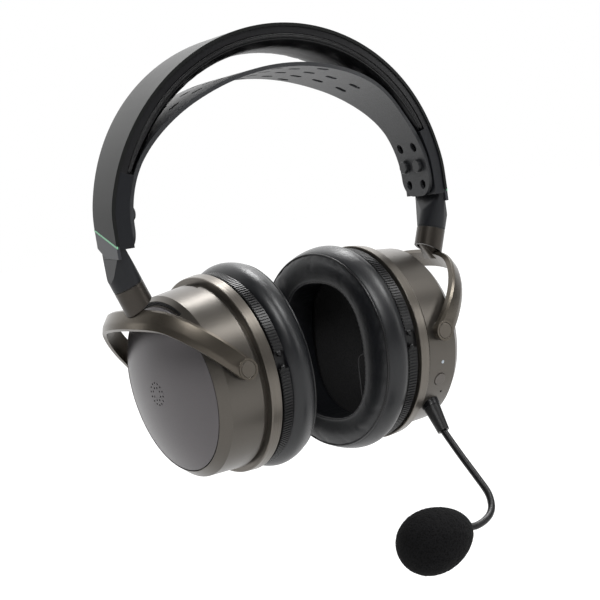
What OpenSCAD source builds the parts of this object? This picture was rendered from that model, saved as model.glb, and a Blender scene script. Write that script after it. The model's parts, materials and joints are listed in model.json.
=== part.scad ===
// Over-ear wireless headset with a plug-in boom microphone.
// Millimetres. +X is the wearer's left, -Y the wearer's front and +Z is up.
// The origin lies midway between the ear cups, in the middle plane of the headband.

/* [Headband] */
// Half the width of the headband over its outer faces
band_half_w = 96.8; // [92:0.2:102]
// Height of the headband's top above the middle of the ears
band_top = 170.8; // [164:0.1:180]
// Radius of the tight arc at each side of the headband
shoulder_r = 55; // [40:1:70]
// Heading at which the crown arc meets the side arc, in degrees
crown_angle = 76; // [72:1:80]
// Depth of the headband, front to back, at its top
band_top_w = 38.9; // [34:0.2:44]
// Depth of the headband, front to back, at its ends
band_end_w = 25.3; // [22:0.2:28]
// Thickness of the metal outer skin
skin_t = 1.6; // [1.2:0.1:2]
// Thickness of the plastic frame under the skin
frame_t = 3.4; // [3:0.1:4]
// Thickness of the padded roll under the frame
band_pad_t = 5.6; // [4:0.1:7]
// Heading at which the padded roll ends and the end caps start, in degrees
cap_angle = 68; // [64:1:72]
// Thickness of the end caps behind the skin
cap_t = 7; // [6.5:0.1:8]
// Height at which the end caps start to narrow into their necks
neck_top = 72; // [70:0.5:76]
// Height of the skin's slanted lower edge, in the middle of its depth
skin_end = 78.4; // [77:0.2:80]
// Drop of that slanted edge from back to front
skin_slant = 9; // [6:0.5:10]
// Width of the coloured line below the skin
accent_w = 1.1; // [0.8:0.1:1.6]
// Thickness of the coloured line
accent_t = 0.6; // [0.4:0.1:0.8]
// Length of the round neck above the washer, up the collar's axis
neck_l = 8.4; // [7.5:0.1:9.5]
// Lean of the flat facet on the neck's outer side, out at the bottom, in degrees
facet_lean = 13; // [8:1:16]

/* [Spring strip] */
// Width of the spring steel strip
spring_w = 15; // [12:0.5:18]
// Thickness of the spring steel strip
spring_t = 1; // [0.8:0.1:1.2]
// Heading at which the strip ends inside the end caps, in degrees
spring_angle = 80; // [76:1:83]

/* [Suspension strap] */
// Drop of the strap's top below the headband's top
strap_drop = 20.9; // [18.5:0.1:25]
// Thickness of the strap
strap_t = 2; // [1.6:0.1:2.4]
// Depth of the strap, front to back, at its top
strap_top_w = 54.7; // [48:0.5:58]
// Depth of the strap, front to back, at its ends
strap_end_w = 26.4; // [25:0.5:29]
// Height of the strap's lower ends
strap_end = 71.8; // [71:0.1:73]
// Gap between the strap's ends and the end caps
strap_gap = 0.3; // [0.1:0.1:0.6]
// Radius of the strap's corners
strap_corner = 9.5; // [5:0.5:10]
// Height of the middle pair of stud holes
stud_z = 88.3; // [87:0.1:90]
// Distance between stud rows, along the strap
stud_row = 10.2; // [9.5:0.1:11]
// Distance between the two studs of a pair
stud_pitch = 13; // [12:0.5:14]
// Diameter of the stud holes
stud_hole_d = 5; // [4.6:0.1:5.4]
// Diameter of the stud heads
stud_head_d = 7; // [6:0.1:8]
// Length of an oval perforation
slot_l = 6.5; // [5:0.5:8]
// Width of an oval perforation
slot_w = 3.8; // [3:0.1:4.5]

/* [Collar and swivel] */
// Distance from the headband's outer face in to the middle of the collar's top
collar_in = 6.9; // [5.8:0.1:7.8]
// Offset of the collar in front of the headband's middle plane
collar_y = 2; // [0:0.1:3]
// Height of the collar's top above the middle of the ears
collar_z = 53.3; // [51:0.1:54]
// Lean of the collar's axis, inwards at the bottom, in degrees
collar_tilt = 20; // [17:0.1:22]
// Radius of the collar
collar_r = 7.7; // [7:0.1:8.2]
// Length of the collar on its inner side
collar_l = 9.4; // [8.5:0.1:10.5]
// Length of the collar on its outer side
collar_l2 = 13; // [11.5:0.1:14]
// Radius of the swivel pin inside the collar
swivel_pin_r = 3; // [2.5:0.1:3.4]
// Length of the swivel pin above the collar
swivel_pin_l = 8; // [6:0.5:8.5]
// Radial running clearance of pins in their bores
run_fit = 0.05; // [0.02:0.01:0.09]
// Thickness of the washer above the collar
washer_t = 0.6; // [0.4:0.1:0.8]
// Turn of the right yoke at rest, in degrees
turn_right = 6.2; // [0:0.1:8]
// Turn of the left yoke at rest, in degrees
turn_left = 4.8; // [0:0.1:8]

/* [Yoke] */
// Distance that the yoke's outer face stands outside the middle of the collar's top
yoke_out = 5.3; // [4.1:0.1:6.1]
// Thickness of the yoke's bar
yoke_t = 3.4; // [3:0.1:3.8]
// Width of the bar along its arms
arm_w = 10.6; // [10:0.1:11.4]
// Width of the bar where its arms bend
bend_w = 10.4; // [10:0.1:11.4]
// Distance from the yoke's outer face in to the bend of its arms
bend_in = 7.2; // [6.2:0.1:8.2]
// Height of the bend above the middle of the ears
bend_z = 36; // [35:0.1:37]
// Height of the middle of the bar below the collar
apex_z = 39; // [38:0.1:40]
// Width of the bar below the collar
apex_w = 10.6; // [10:0.2:12]
// Lean of the bar's outer face below the collar, in at the top, in degrees
bar_lean = 38; // [30:1:42]
// Height of the bevel along the bar's lower edge
low_bevel = 2.3; // [2:0.1:3]
// Gap between the arms and the cup's wall
arm_gap = 1.1; // [1:0.1:1.4]
// Distance from the yoke's outer face in to the pivots
pivot_in = 38.4; // [37.2:0.1:40.2]
// Height of the pivots above the middle of the ears
pivot_z = 5; // [4:0.1:6]
// Radius of the pivot pins
pivot_r = 2; // [1.5:0.1:2.4]
// Radius of the pivot pins' round heads
pivot_head_r = 3.9; // [3.4:0.1:4.2]
// Thickness of the pivot pins' round heads
pivot_head_t = 1; // [0.8:0.1:1.4]

/* [Ear cup] */
// Offset of the cup's centre behind the headband's middle plane
cup_y = 8; // [6:0.1:10]
// Lean of the right cup, outer face downwards, in degrees
tilt_right = 3.8; // [0:0.1:6]
// Lean of the left cup, outer face downwards, in degrees
tilt_left = 1.6; // [0:0.1:6]
// Distance that the flange ring stands proud of the cup's body
flange_step = 3.6; // [2.8:0.1:5]
// Thickness of the flange ring
flange_t = 5.8; // [5.4:0.1:6.4]
// Radius of the cup's body at the flange
body_r = 48.7; // [48.2:0.1:49.4]
// Loss of radius from the flange to the body's outer corner
body_taper = 1.3; // [0.8:0.1:1.6]
// Distance of the body's outer corner from the mounting plane
body_l = 26.4; // [25.6:0.1:27.4]
// Depth of the chamfer at the body's outer edge
chamfer_l = 4.8; // [4.4:0.1:5.2]
// Width of the chamfer, along the radius
chamfer_w = 4.3; // [3.8:0.1:4.5]
// Wall thickness of the cup's body at its outer corner
body_wall = 6; // [5.8:0.1:6.2]
// Width of the groove between the flange and the body
groove_w = 1.9; // [1.4:0.1:2.2]
// Depth of the groove between the flange and the body
groove_d = 1.3; // [1:0.1:1.5]
// Gap around the rim of the back cover
cover_gap = 0.6; // [0.3:0.1:0.8]
// Rise of the back cover's dome above its rim
dome_rise = 8.5; // [7:0.1:9.5]
// Wall thickness of the back cover
cover_t = 2; // [1.6:0.1:2.4]
// Diameter of each small vent hole in the back cover
vent_d = 1.1; // [0.8:0.1:1.2]
// Radius of the inner ring of small vent holes
vent_in_r = 3.4; // [3:0.1:3.8]
// Radius of the outer ring of small vent holes
vent_out_r = 5.7; // [5.4:0.1:6.4]
// Height of the pivots above the cup's centre
pivot_up = 6.1; // [5:0.1:7]
// Distance of the pivots from the cup's mounting plane
pivot_out = 16.2; // [15:0.1:17.2]
// Half angle of the curved vent at the top of the cup, in degrees
top_vent_half = 33; // [25:1:45]
// Width of the curved vent
top_vent_w = 2; // [1.4:0.1:2.4]

/* [Ear pad] */
// Thickness of the twist-lock ring that carries the pad
lock_t = 7.4; // [6.5:0.1:8]
// Height of the dark neck between the flange and the ring's ribs
lock_neck = 1.8; // [1.4:0.1:2.2]
// Distance that the twist-lock ring stands back from the flange's edge
lock_step = 1.3; // [0.7:0.1:2.3]
// Distance of the pad's crown from the mounting plane
pad_front = 25.4; // [23:0.2:28]
// Distance that the pad bulges past the twist-lock ring
pad_over = 3.5; // [2:0.1:4.5]
// Slope of the pad's front, thicker at the back
pad_wedge = 0.08; // [0:0.01:0.1]
// Distance from the ring's opening in to the ear opening, at its sides
ear_in_w = 9; // [6.5:0.5:13]
// Distance from the ring's opening in to the ear opening, at its top and bottom
ear_in_h = 5; // [3:0.5:9]

/* [Driver] */
// Distance from the body's radius in to the driver's frame
driver_in = 5.7; // [5.5:0.1:6.3]
// Width of the rim of the driver's frame
driver_rim = 7; // [5.5:0.5:11]
// Height of the driver's frame
driver_t = 7.6; // [7:0.1:7.8]
// Number of bar magnets
magnet_count = 9; // [5:2:11]
// Width of a bar magnet
magnet_w = 3.2; // [2:0.1:3.6]
// Height of the posts that carry the battery
battery_post_l = 4; // [3:0.5:6]
// Height of the posts that carry the circuit board
board_post_l = 11.5; // [11:0.1:12.5]

/* [Microphone] */
// Distance of the boom's socket from the mounting plane
mic_out = 15.5; // [15.4:0.1:16]
// Radius of the headset plug's pin
plug_r = 1.75; // [1.25:0.05:1.75]
// Length of the headset plug's pin
plug_l = 13; // [11:0.5:14]
// Radius of the boot at the cup
boot_r1 = 4.4; // [4:0.1:4.8]
// Radius of the boot at the gooseneck
boot_r2 = 3.2; // [2.8:0.1:3.6]
// Length of the boot
boot_l = 15.6; // [14:0.2:18]
// Diameter of the gooseneck
neck_d = 3.7; // [3.2:0.1:4.2]
// Half the length of the foam windscreen
foam_half_l = 21.5; // [18:0.5:23]
// Largest radius of the foam windscreen
foam_r = 15.8; // [14:0.2:17.4]

/* [Hidden] */
$fn = 96;
eps = 0.01;

function unit(v) = v / norm(v);
function toward(h) = [sin(h), cos(h)];
function mix(a, b, t) = a + (b - a) * t;
function smooth(t) = let (k = min(1, max(0, t))) k * k * (3 - 2 * k);

// An arch is a list of arcs, [radius, heading where it ends], from its top down one side.
function arc_from(arch, i) = i == 0 ? 0 : arch[i - 1][1];
function arc_start(arch, i) = i == 0 ? [0, 0]
  : arc_start(arch, i - 1)
    + arch[i - 1][0] * (toward(arch[i - 1][1]) - toward(arc_from(arch, i - 1)));
function arc_of(arch, h, i = 0) = i == len(arch) - 1 || h <= arch[i][1] ? i : arc_of(arch, h, i + 1);
// The point of the arch at heading h, set in by a depth from the outer face
function arch_at(arch, top, inset, h) =
  let (a = abs(h), i = arc_of(arch, a),
       p = [0, top] + arc_start(arch, i)
         + arch[i][0] * (toward(a) - toward(arc_from(arch, i))) - inset * toward(a))
  [h < 0 ? -p.x : p.x, p.y];
arch_step = 2;

// Headband arch
crown_r = (band_half_w - shoulder_r * (1 - sin(crown_angle))) / sin(crown_angle);
band_arch = [[crown_r, crown_angle], [shoulder_r, 90]];
frame_inset = 0.8;
frame_in = skin_t + frame_t;
cap_in = skin_t + cap_t;
spring_in = frame_in - spring_t;
slot_fit = 0.1;

// Strap arch
strap_top = band_top - strap_drop;
strap_half_w = band_half_w - cap_in - strap_gap;
side_share = 0.827;
end_share = 0.66;
strap_r2 = side_share * strap_half_w;
strap_r3 = end_share * strap_half_w;
strap_a1 = 25.8;
strap_a2 = 57.6;
strap_r1 = (strap_half_w - strap_r3 * (1 - sin(strap_a2))
  - strap_r2 * (sin(strap_a2) - sin(strap_a1))) / sin(strap_a1);
strap_arch = [[strap_r1, strap_a1], [strap_r2, strap_a2], [strap_r3, 90]];
// Perforations: distance along the strap from its top, then places across it
perforations = [[0, [7.2, 21.5]], [13.3, [0, 15]], [26.5, [7.2, 21.5]], [40, [7.2]], [55, [7.2]]];
stud_post_r = stud_hole_d / 2 - 0.3;
stud_head_t = 1.8;
head_clear = 1.2;
stud_root = 1.5;

// Yoke, in the plane seen from above: half an ellipse round the cup
collar_x = band_half_w - collar_in;
yoke_reach = collar_x + yoke_out;
bend_x = yoke_reach - bend_in;
pivot_x = yoke_reach - pivot_in;
arm_in = body_r + arm_gap;
arm_out = arm_in + yoke_t;
yoke_a = yoke_reach - pivot_x;
yoke_b = arm_out;
arm_end_r = arm_w / 2;
head_gap = 0.25;
boss_r = 4.4;
boss_gap = 1;

// Ear cup
corner_r = body_r - body_taper;
flange_r = body_r + flange_step;
chamfer_r = corner_r - chamfer_w;
driver_r = body_r - driver_in;
driver_open_r = driver_r - driver_rim;
groove_top = flange_t + groove_w;
function wall_r(z) = mix(body_r, corner_r, (z - groove_top) / (body_l - groove_top));
rim_z = body_l + chamfer_l;
cover_r = chamfer_r - cover_gap;
cover_seat = rim_z - cover_t;
vent_in_n = 8;
vent_out_n = 14;
cavity_r = corner_r - body_wall;
dome_r = (cover_r * cover_r + dome_rise * dome_rise) / (2 * dome_rise);
lip_r = body_r - groove_d;
baffle_plate = 2.4;
driver_fit = 0.2;
driver_z = baffle_plate;
driver_top = driver_z + driver_t;
pocket_r = driver_r + driver_fit;
baffle_lip = 3.2;
baffle_open_r = pocket_r - baffle_lip;
pocket_z = driver_top + 0.4;
ledge_z = driver_z + 4.6;
ledge_w = 1.8;
film_t = 0.2;
post_r = 1.6;
post_at = cavity_r - post_r - 0.3;
battery_posts = [45, 135, 225, 315];
board_posts = [35, 145, 254, 318];
battery_half = post_at * cos(45) + 1;
battery_t = 5;
board_r = cavity_r - 0.8;
board_t = 1.4;
screw_r = 1.1;
screw_head_r = 1.9;
screw_at = (pocket_r + lip_r) / 2;
screw_angles = [40, 160, 280];
slot_angle = 98;

// Twist-lock ring and ear pad
lock_r = flange_r - lock_step;
lock_neck_r = lock_r - 2;
lock_open_r = baffle_open_r + 1;
pad_r = lock_r + pad_over;
ear_half_w = lock_open_r - ear_in_w;
ear_half_h = lock_open_r - ear_in_h;
cloth_t = 0.8;
cloth_z = -3.6;
pad_sides = 56;
ear_power = 2.5;
function ear_r(a) = pow(pow(abs(cos(a)) / ear_half_w, ear_power)
  + pow(abs(sin(a)) / ear_half_h, ear_power), -1 / ear_power);
pad_base_r = lock_r - 0.6;
pad_bulge = pad_r - pad_base_r;
// Section of the pad: swell past the base radius, share of the way to the opening, share of the height
pad_section = [
  [0, 0, 0], [0.5, 0, 0.1], [0.86, 0, 0.24], [1, 0, 0.4], [0.93, 0, 0.58], [0.7, 0, 0.77],
  [0.42, 0, 0.9], [0.3, 0, 0.94], [0.14, 0, 0.945], [0.2, 0, 0.97], [0, 0.05, 0.99],
  [0, 0.22, 1], [0, 0.5, 1], [0, 0.76, 0.985], [0, 0.91, 0.95], [0, 0.93, 0.915], [0, 0.965, 0.92],
  [0, 1, 0.86], [0, 1, 0.45], [0, 0.95, 0]
];

// Boom: places in the cup's own frame, [to the back, up, outwards]
boom_proud = 0.45;
boom_angle = -135.74;
boom_lean = -122.7;
boom_base = [(body_r + boom_proud) * cos(boom_angle), (body_r + boom_proud) * sin(boom_angle), mic_out];
boom_dir = [cos(boom_lean), sin(boom_lean), 0];
boot_end = boom_base + boot_l * boom_dir;
foam_dir = [-0.08, -0.07, -0.99];
foam_at = boom_base + [-51.3, -53.1, -45.1];
foam_bore = 0.6;
capsule_r = 4.2;
capsule_l = 12;
capsule_back = 8.3;
neck_bends = [
  [-20.4, -24.6, 0], [-31.8, -35.3, 0.3], [-39.1, -42, 0], [-44.4, -46.8, -2.9],
  [-47.8, -49.8, -7.2], [-49.9, -51.8, -12.6], [-51.2, -53, -18.6]
];
neck_points = [
  boot_end, for (b = neck_bends) boom_base + b,
  foam_at - (foam_half_l + 1) * unit(foam_dir), foam_at - (capsule_back + 0.2) * unit(foam_dir)
];
socket_r = 4.8;
socket_l = 14;
socket_lift = 1.2;
plug_into_boot = 5;

// Controls of the left cup: angle round the cup and distance from the mounting plane
button_at = [-155.5, 16.3];
light_at = [-166.9, 17.3];
sound_hole_at = [-144.9, 19.9];
button_r = 3.3;
button_gap = 0.3;
button_proud = 0.5;
button_rim = 1.2;
light_r = 0.9;
wheel_at = [-12, 14];
wheel_r = 9;
wheel_t = 4;
wheel_proud = 0.9;
wheel_gap = 0.8;
axle_r = 1.2;
port_at = [-78, 14];
jack_at = [-58, 14];
jack_r = 3.4;
jack_bore_r = 1.8;
jack_l = 14;
jack_back = 1;

// ---------------------------------------------------------------- helpers

// Puts a piece on the right or the left: side is -1 for the right and 1 for the left.
module on_side(side) {
  mirror([side < 0 ? 1 : 0, 0, 0])
    children();
}

// Turns what the collar carries about the collar's axis.
module turned(side) {
  on_side(side)
    translate([collar_x, -collar_y, collar_z])
      rotate(a = side > 0 ? turn_left : -turn_right, v = [sin(collar_tilt), 0, cos(collar_tilt)])
        translate([-collar_x, collar_y, -collar_z])
          children();
}

// The collar's frame: origin at its top, +Z up its axis.
module collar_frame() {
  translate([collar_x, -collar_y, collar_z])
    rotate([0, collar_tilt, 0])
      children();
}

// The cup's frame: X to the back, Y up, Z outwards, origin on the mounting plane.
module cup_frame(side) {
  turned(side)
    translate([pivot_x, cup_y, pivot_z])
      rotate([0, side > 0 ? tilt_left : tilt_right, 0])
        rotate([90, 0, 90])
          translate([0, -pivot_up, -pivot_out])
            children();
}

// A radial place on the cup's wall: Z points outwards along the radius.
module on_wall(at, r) {
  rotate([0, 0, at[0]])
    translate([r, 0, at[1]])
      rotate([0, 90, 0])
        children();
}

// The boom's frame: origin at its base on the cup, Z along the boom's plug axis.
module boom_frame() {
  translate(boom_base)
    rotate([0, 0, boom_lean])
      rotate([0, 90, 0])
        children();
}

// A strip that follows an arch between two depths, from heading h0 to h1, then straight down to drop.
module arch_strip(arch, top, in0, in1, h0, h1, depth, drop = undef) {
  hs = [for (h = [h0 : arch_step : h1 - eps]) h];
  all_h = concat(hs, [h1]);
  outer = [for (h = all_h) arch_at(arch, top, in0, h)];
  inner = [for (i = [len(all_h) - 1 : -1 : 0]) arch_at(arch, top, in1, all_h[i])];
  foot = is_undef(drop) ? [] : [[outer[len(outer) - 1].x, drop], [inner[0].x, drop]];
  head = is_undef(drop) || h0 >= 0 ? [] : [[inner[len(inner) - 1].x, drop], [outer[0].x, drop]];
  rotate([90, 0, 0])
    translate([0, 0, -depth / 2])
      linear_extrude(depth)
        polygon(concat(outer, foot, inner, head));
}

function band_w(x) = mix(band_end_w, band_top_w, smooth(sqrt(max(0, 1 - pow(x / band_half_w, 2)))));
function strap_w(x) =
  let (c = sqrt(max(0, 1 - pow(x / strap_half_w, 2))))
  mix(strap_end_w, strap_top_w, smooth((c - cos(65)) / (1 - cos(65))));
reach = band_half_w + 4;

// What lies inside the headband's outline seen from above, less an inset at the front and the back
module band_outline(inset) {
  xs = [for (x = [-reach : 4 : reach]) x];
  linear_extrude(band_top + 10)
    polygon(concat([for (x = xs) [x, band_w(x) / 2 - inset]],
      [for (i = [len(xs) - 1 : -1 : 0]) [xs[i], inset - band_w(xs[i]) / 2]]));
}

module strap_outline() {
  xs = [for (x = [-reach : 4 : reach]) x];
  linear_extrude(band_top + 10)
    polygon(concat([for (x = xs) [x, strap_w(x) / 2]],
      [for (i = [len(xs) - 1 : -1 : 0]) [xs[i], -strap_w(xs[i]) / 2]]));
}

// Everything below the skin's slanted lower edge, moved down by a distance
module below_skin(down) {
  h = 60;
  rotate([90, 0, 90])
    translate([0, 0, -reach - 5])
      linear_extrude(2 * reach + 10)
        polygon([
          [-h, skin_end - down - skin_slant * h / band_end_w],
          [h, skin_end - down + skin_slant * h / band_end_w],
          [h, -h], [-h, -h]
        ]);
}

// ---------------------------------------------------------------- headband

module headband_skin() {
  color([0.30, 0.31, 0.30])
    difference() {
      intersection() {
        arch_strip(band_arch, band_top, 0, skin_t, -90, 90, band_top_w + 2, neck_top);
        band_outline(0);
      }
      below_skin(0);
    }
}

module headband_frame() {
  color([0.06, 0.06, 0.065])
    difference() {
      intersection() {
        arch_strip(band_arch, band_top, skin_t, frame_in, -cap_angle, cap_angle, band_top_w + 2);
        band_outline(frame_inset);
      }
      arch_strip(band_arch, band_top, spring_in, frame_in + 1, -cap_angle - 2, cap_angle + 2,
        spring_w + 2 * slot_fit);
    }
}

module headband_spring() {
  color([0.55, 0.56, 0.58])
    arch_strip(band_arch, band_top, spring_in, frame_in, -spring_angle, spring_angle, spring_w);
}

// The roll: side strip between two seams, then a crowned underside
pad_profile = [
  [0.9, 0], [0.97, 0.06], [0.985, 0.16], [0.95, 0.22], [0.985, 0.28], [0.97, 0.44],
  [0.92, 0.52], [0.935, 0.58], [0.83, 0.82], [0.6, 0.95], [0.3, 1], [0, 1]
];
pad_taper = 16;
module headband_pad() {
  n = len(pad_profile);
  half = [for (p = pad_profile) p];
  ring = concat(half, [for (i = [n - 2 : -1 : 0]) [-pad_profile[i][0], pad_profile[i][1]]]);
  m = len(ring);
  hs = [for (h = [-cap_angle : 4 : cap_angle + eps]) h];
  pts = [for (h = hs)
    let (x = arch_at(band_arch, band_top, 0, h).x, w = band_w(x) / 2,
         t = mix(cap_in - frame_in, band_pad_t, smooth((cap_angle - abs(h)) / pad_taper)))
    for (q = ring)
      let (p = arch_at(band_arch, band_top, frame_in + q[1] * t, h)) [p.x, q[0] * w, p.y]];
  faces = concat(
    [for (i = [0 : len(hs) - 2]) for (j = [0 : m - 1]) each [
      [i * m + j, i * m + (j + 1) % m, (i + 1) * m + (j + 1) % m],
      [i * m + j, (i + 1) * m + (j + 1) % m, (i + 1) * m + j]]],
    [for (j = [1 : m - 2]) [0, j + 1, j]],
    [for (j = [1 : m - 2]) let (e = (len(hs) - 1) * m) [e, e + j, e + j + 1]]
  );
  color([0.05, 0.05, 0.052])
    polyhedron(points = pts, faces = faces, convexity = 6);
}

module accent_lines() {
  color([0.45, 0.65, 0.50])
    for (side = [-1, 1])
      on_side(side)
        difference() {
          intersection() {
            arch_strip(band_arch, band_top, 0, accent_t, 76, 90, band_top_w + 2, neck_top);
            band_outline(0);
            below_skin(0);
          }
          below_skin(accent_w);
        }
}

fold_z = 68;
fold_y = 4;
module cover_plate(grow) {
  w = band_end_w / 2;
  translate([band_half_w - skin_t - grow, 0, 0])
    rotate([90, 0, 90])
      linear_extrude(skin_t + grow + 4)
        polygon([
          [-w, skin_end + 20], [-w, fold_z - 0.5], [fold_y, fold_z + 0.6], [w, neck_top + 1.5],
          [w, skin_end + 20]
        ]);
}

// The neck goes on from the collar as a cylinder, then spreads to the foot of the cap
neck_step = 3.8;
facet_in = 0.4;
module end_cap(side) {
  color([0.16, 0.17, 0.19])
    on_side(side)
      difference() {
        union() {
          intersection() {
            arch_strip(band_arch, band_top, skin_t, cap_in, cap_angle, 90, band_top_w + 2, neck_top);
            band_outline(frame_inset);
          }
          hull() {
            translate([band_half_w - cap_in + neck_step, -band_end_w / 2 + frame_inset, neck_top - eps])
              cube([cap_t - neck_step, band_end_w - 2 * frame_inset, 2 * eps]);
            collar_frame()
              translate([0, 0, washer_t])
                cylinder(r = collar_r, h = neck_l, $fn = 60);
          }
        }
        cover_plate(0);
        translate([band_half_w, -reach, fold_z])
          cube([reach, 2 * reach, band_top]);
        translate([band_half_w - facet_in, -reach, fold_z])
          rotate([0, -facet_lean, 0])
            translate([0, 0, -reach])
              cube([reach, 2 * reach, reach]);
        arch_strip(band_arch, band_top, spring_in - slot_fit, frame_in + slot_fit,
          cap_angle - 2, spring_angle + 0.4, spring_w + 2 * slot_fit);
        collar_frame()
          translate([0, 0, -1])
            cylinder(r = swivel_pin_r + run_fit, h = swivel_pin_l + 2);
        for (y = [-1, 1])
          translate([band_half_w - cap_in - 1, y * stud_pitch / 2, stud_z])
            rotate([0, 90, 0])
              cylinder(r = stud_post_r, h = 1 + stud_root);
      }
}
module end_cap_right() end_cap(-1);
module end_cap_left() end_cap(1);

module end_cover(side) {
  color([0.30, 0.30, 0.32])
    on_side(side)
      difference() {
        intersection() {
          cover_plate(0);
          below_skin(0);
          translate([band_half_w - skin_t, -band_end_w / 2, fold_z - 1])
            cube([skin_t, band_end_w, skin_end + skin_slant]);
        }
        difference() {
          translate([band_half_w - accent_t, -band_end_w, fold_z])
            cube([skin_t, 2 * band_end_w, skin_end]);
          below_skin(accent_w);
        }
      }
}
module end_cover_right() end_cover(-1);
module end_cover_left() end_cover(1);

module strap_studs() {
  post = stud_root + strap_gap + strap_t + head_clear;
  color([0.2, 0.2, 0.22])
    for (side = [-1, 1])
      for (y = [-1, 1])
        on_side(side)
          translate([band_half_w - cap_in + stud_root, y * stud_pitch / 2, stud_z])
            rotate([0, -90, 0]) {
              cylinder(r = stud_post_r, h = post);
              translate([0, 0, post])
                cylinder(d = stud_head_d, h = stud_head_t - 0.5);
              translate([0, 0, post + stud_head_t - 0.5])
                cylinder(d1 = stud_head_d, d2 = stud_head_d - 1, h = 0.5);
            }
}

// Turns a distance along the strap from its top into a heading.
function strap_heading(s) =
  s <= strap_r1 * strap_a1 * PI / 180 ? s / strap_r1 * 180 / PI
  : strap_a1 + (s - strap_r1 * strap_a1 * PI / 180) / strap_r2 * 180 / PI;
module across_strap(h, y) {
  p = arch_at(strap_arch, strap_top, 0, h);
  translate([p.x, y, p.y])
    rotate([0, h, 0])
      children();
}
module oval_hole() {
  translate([0, 0, -strap_t - 2])
    linear_extrude(strap_t + 4)
      union() {
        square([slot_l - slot_w, slot_w], center = true);
        for (x = [-1, 1])
          translate([x * (slot_l - slot_w) / 2, 0])
            circle(d = slot_w, $fn = 24);
      }
}
module suspension_strap() {
  color([0.25, 0.26, 0.28])
    difference() {
      intersection() {
        arch_strip(strap_arch, strap_top, 0, strap_t, -90, 90, strap_top_w + 2, strap_end);
        strap_outline();
      }
      for (side = [-1, 1])
        for (y = [-1, 1])
          on_side(side)
            translate([strap_half_w - strap_t - 4, y * strap_end_w / 2, strap_end])
              rotate([0, 90, 0])
                difference() {
                  translate([-strap_corner - eps, -strap_corner - eps, 0])
                    cube([strap_corner + 1, 2 * strap_corner + 1, strap_t + 8]);
                  translate([-strap_corner, -y * strap_corner, -1])
                    cylinder(r = strap_corner, h = strap_t + 10);
                  translate([-strap_corner - 1, y < 0 ? strap_corner : -2 * strap_corner - 1, -1])
                    cube([2 * strap_corner + 2, strap_corner + 1, strap_t + 10]);
                }
      for (row = perforations)
        for (side = row[0] == 0 ? [1] : [-1, 1])
          for (y = row[1])
            for (k = y == 0 ? [1] : [-1, 1])
              across_strap(side * strap_heading(row[0]), k * y)
                oval_hole();
      for (side = [-1, 1])
        for (row = [-1 : 1])
          for (y = [-1, 1])
            on_side(side)
              translate([strap_half_w - strap_t - 8, y * stud_pitch / 2, stud_z + row * stud_row])
                rotate([0, 90, 0])
                  cylinder(d = stud_hole_d, h = strap_t + 12, $fn = 32);
    }
}

// ---------------------------------------------------------------- collar and yoke

hub_r = collar_r - 1.5;
hub_top = 6;
module collar(side) {
  color([0.33, 0.31, 0.28])
    turned(side)
      difference() {
        collar_frame()
          difference() {
            translate([0, 0, -collar_l2])
              cylinder(r = collar_r, h = collar_l2);
            translate([0, 0, -collar_l2 - 1])
              cylinder(r = swivel_pin_r, h = collar_l2 + 2);
            translate([0, 0, -collar_l2 - 1])
              cylinder(r = hub_r, h = collar_l2 + 1 - hub_top);
            rotate([90, 0, 0])
              translate([0, 0, -collar_r - 1])
                linear_extrude(2 * collar_r + 2)
                  polygon([
                    [-collar_r - 1, -collar_l + 0.3], [collar_r + 1, -collar_l2 - 0.3],
                    [collar_r + 1, -3 * collar_l], [-collar_r - 1, -3 * collar_l]
                  ]);
          }
        yoke_bar();
        yoke_root();
      }
}
module collar_right() collar(-1);
module collar_left() collar(1);

module swivel_pin(side) {
  color([0.6, 0.6, 0.62])
    turned(side)
      collar_frame()
        translate([0, 0, -hub_top])
          cylinder(r = swivel_pin_r, h = hub_top + swivel_pin_l);
}
module swivel_pin_right() swivel_pin(-1);
module swivel_pin_left() swivel_pin(1);

module swivel_washer(side) {
  color([0.05, 0.05, 0.05])
    turned(side)
      collar_frame()
        difference() {
          cylinder(r = collar_r - 0.5, h = washer_t);
          translate([0, 0, -1])
            cylinder(r = swivel_pin_r, h = washer_t + 2);
        }
}
module swivel_washer_right() swivel_washer(-1);
module swivel_washer_left() swivel_washer(1);

// The bar runs round the cup on half an ellipse, climbs from the pivots and leans in at the top
arm_slope = (bend_z - pivot_z) / (bend_x - pivot_x);
apex_slope = (apex_z - bend_z) / (yoke_reach - bend_x);
function arm_height(x) =
  let (p = pivot_z + arm_slope * (x - pivot_x), q = apex_z - apex_slope * (yoke_reach - x))
  (p + q - norm([p - q, 1.5])) / 2;
function arm_half(x) = let (t = (x - pivot_x) / yoke_a)
  t < 0.8 ? mix(arm_w, bend_w, smooth((t - 0.4) / 0.4)) / 2 : mix(bend_w, apex_w, smooth((t - 0.8) / 0.2)) / 2;
bar_sections = 36;
function bar_places() = [for (i = [0 : bar_sections]) i * 180 / bar_sections - 90];
// One section of the bar: its outer face, the bevels along its edges and its inner face
function bar_section(a) =
  let (x = pivot_x + yoke_a * cos(a), y = cup_y + yoke_b * sin(a), e = 0.01,
       slope = (arm_height(x) - arm_height(x - e)) / e,
       n = unit([cos(a) / yoke_a, sin(a) / yoke_b, 0]),
       run = unit([-yoke_a * sin(a), yoke_b * cos(a), -yoke_a * sin(a) * slope]),
       up0 = cross(n, run),
       lean = bar_lean * cos(a),
       out = cos(lean) * n + sin(lean) * up0, up = cos(lean) * up0 - sin(lean) * n,
       h = arm_half(x), low = mix(low_bevel, 1.2, smooth((0.35 - cos(a)) / 0.35)), t = yoke_t)
  [for (q = [[0, h - 1.2], [0, low + 1.2 - h], [-0.3, low - h], [-0.5 * low, -h], [-t, -h], [-t, h], [-0.8, h]])
    [x, y, arm_height(x)] + (low - h) * (up0 - up) + q[0] * out + q[1] * up];
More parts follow.
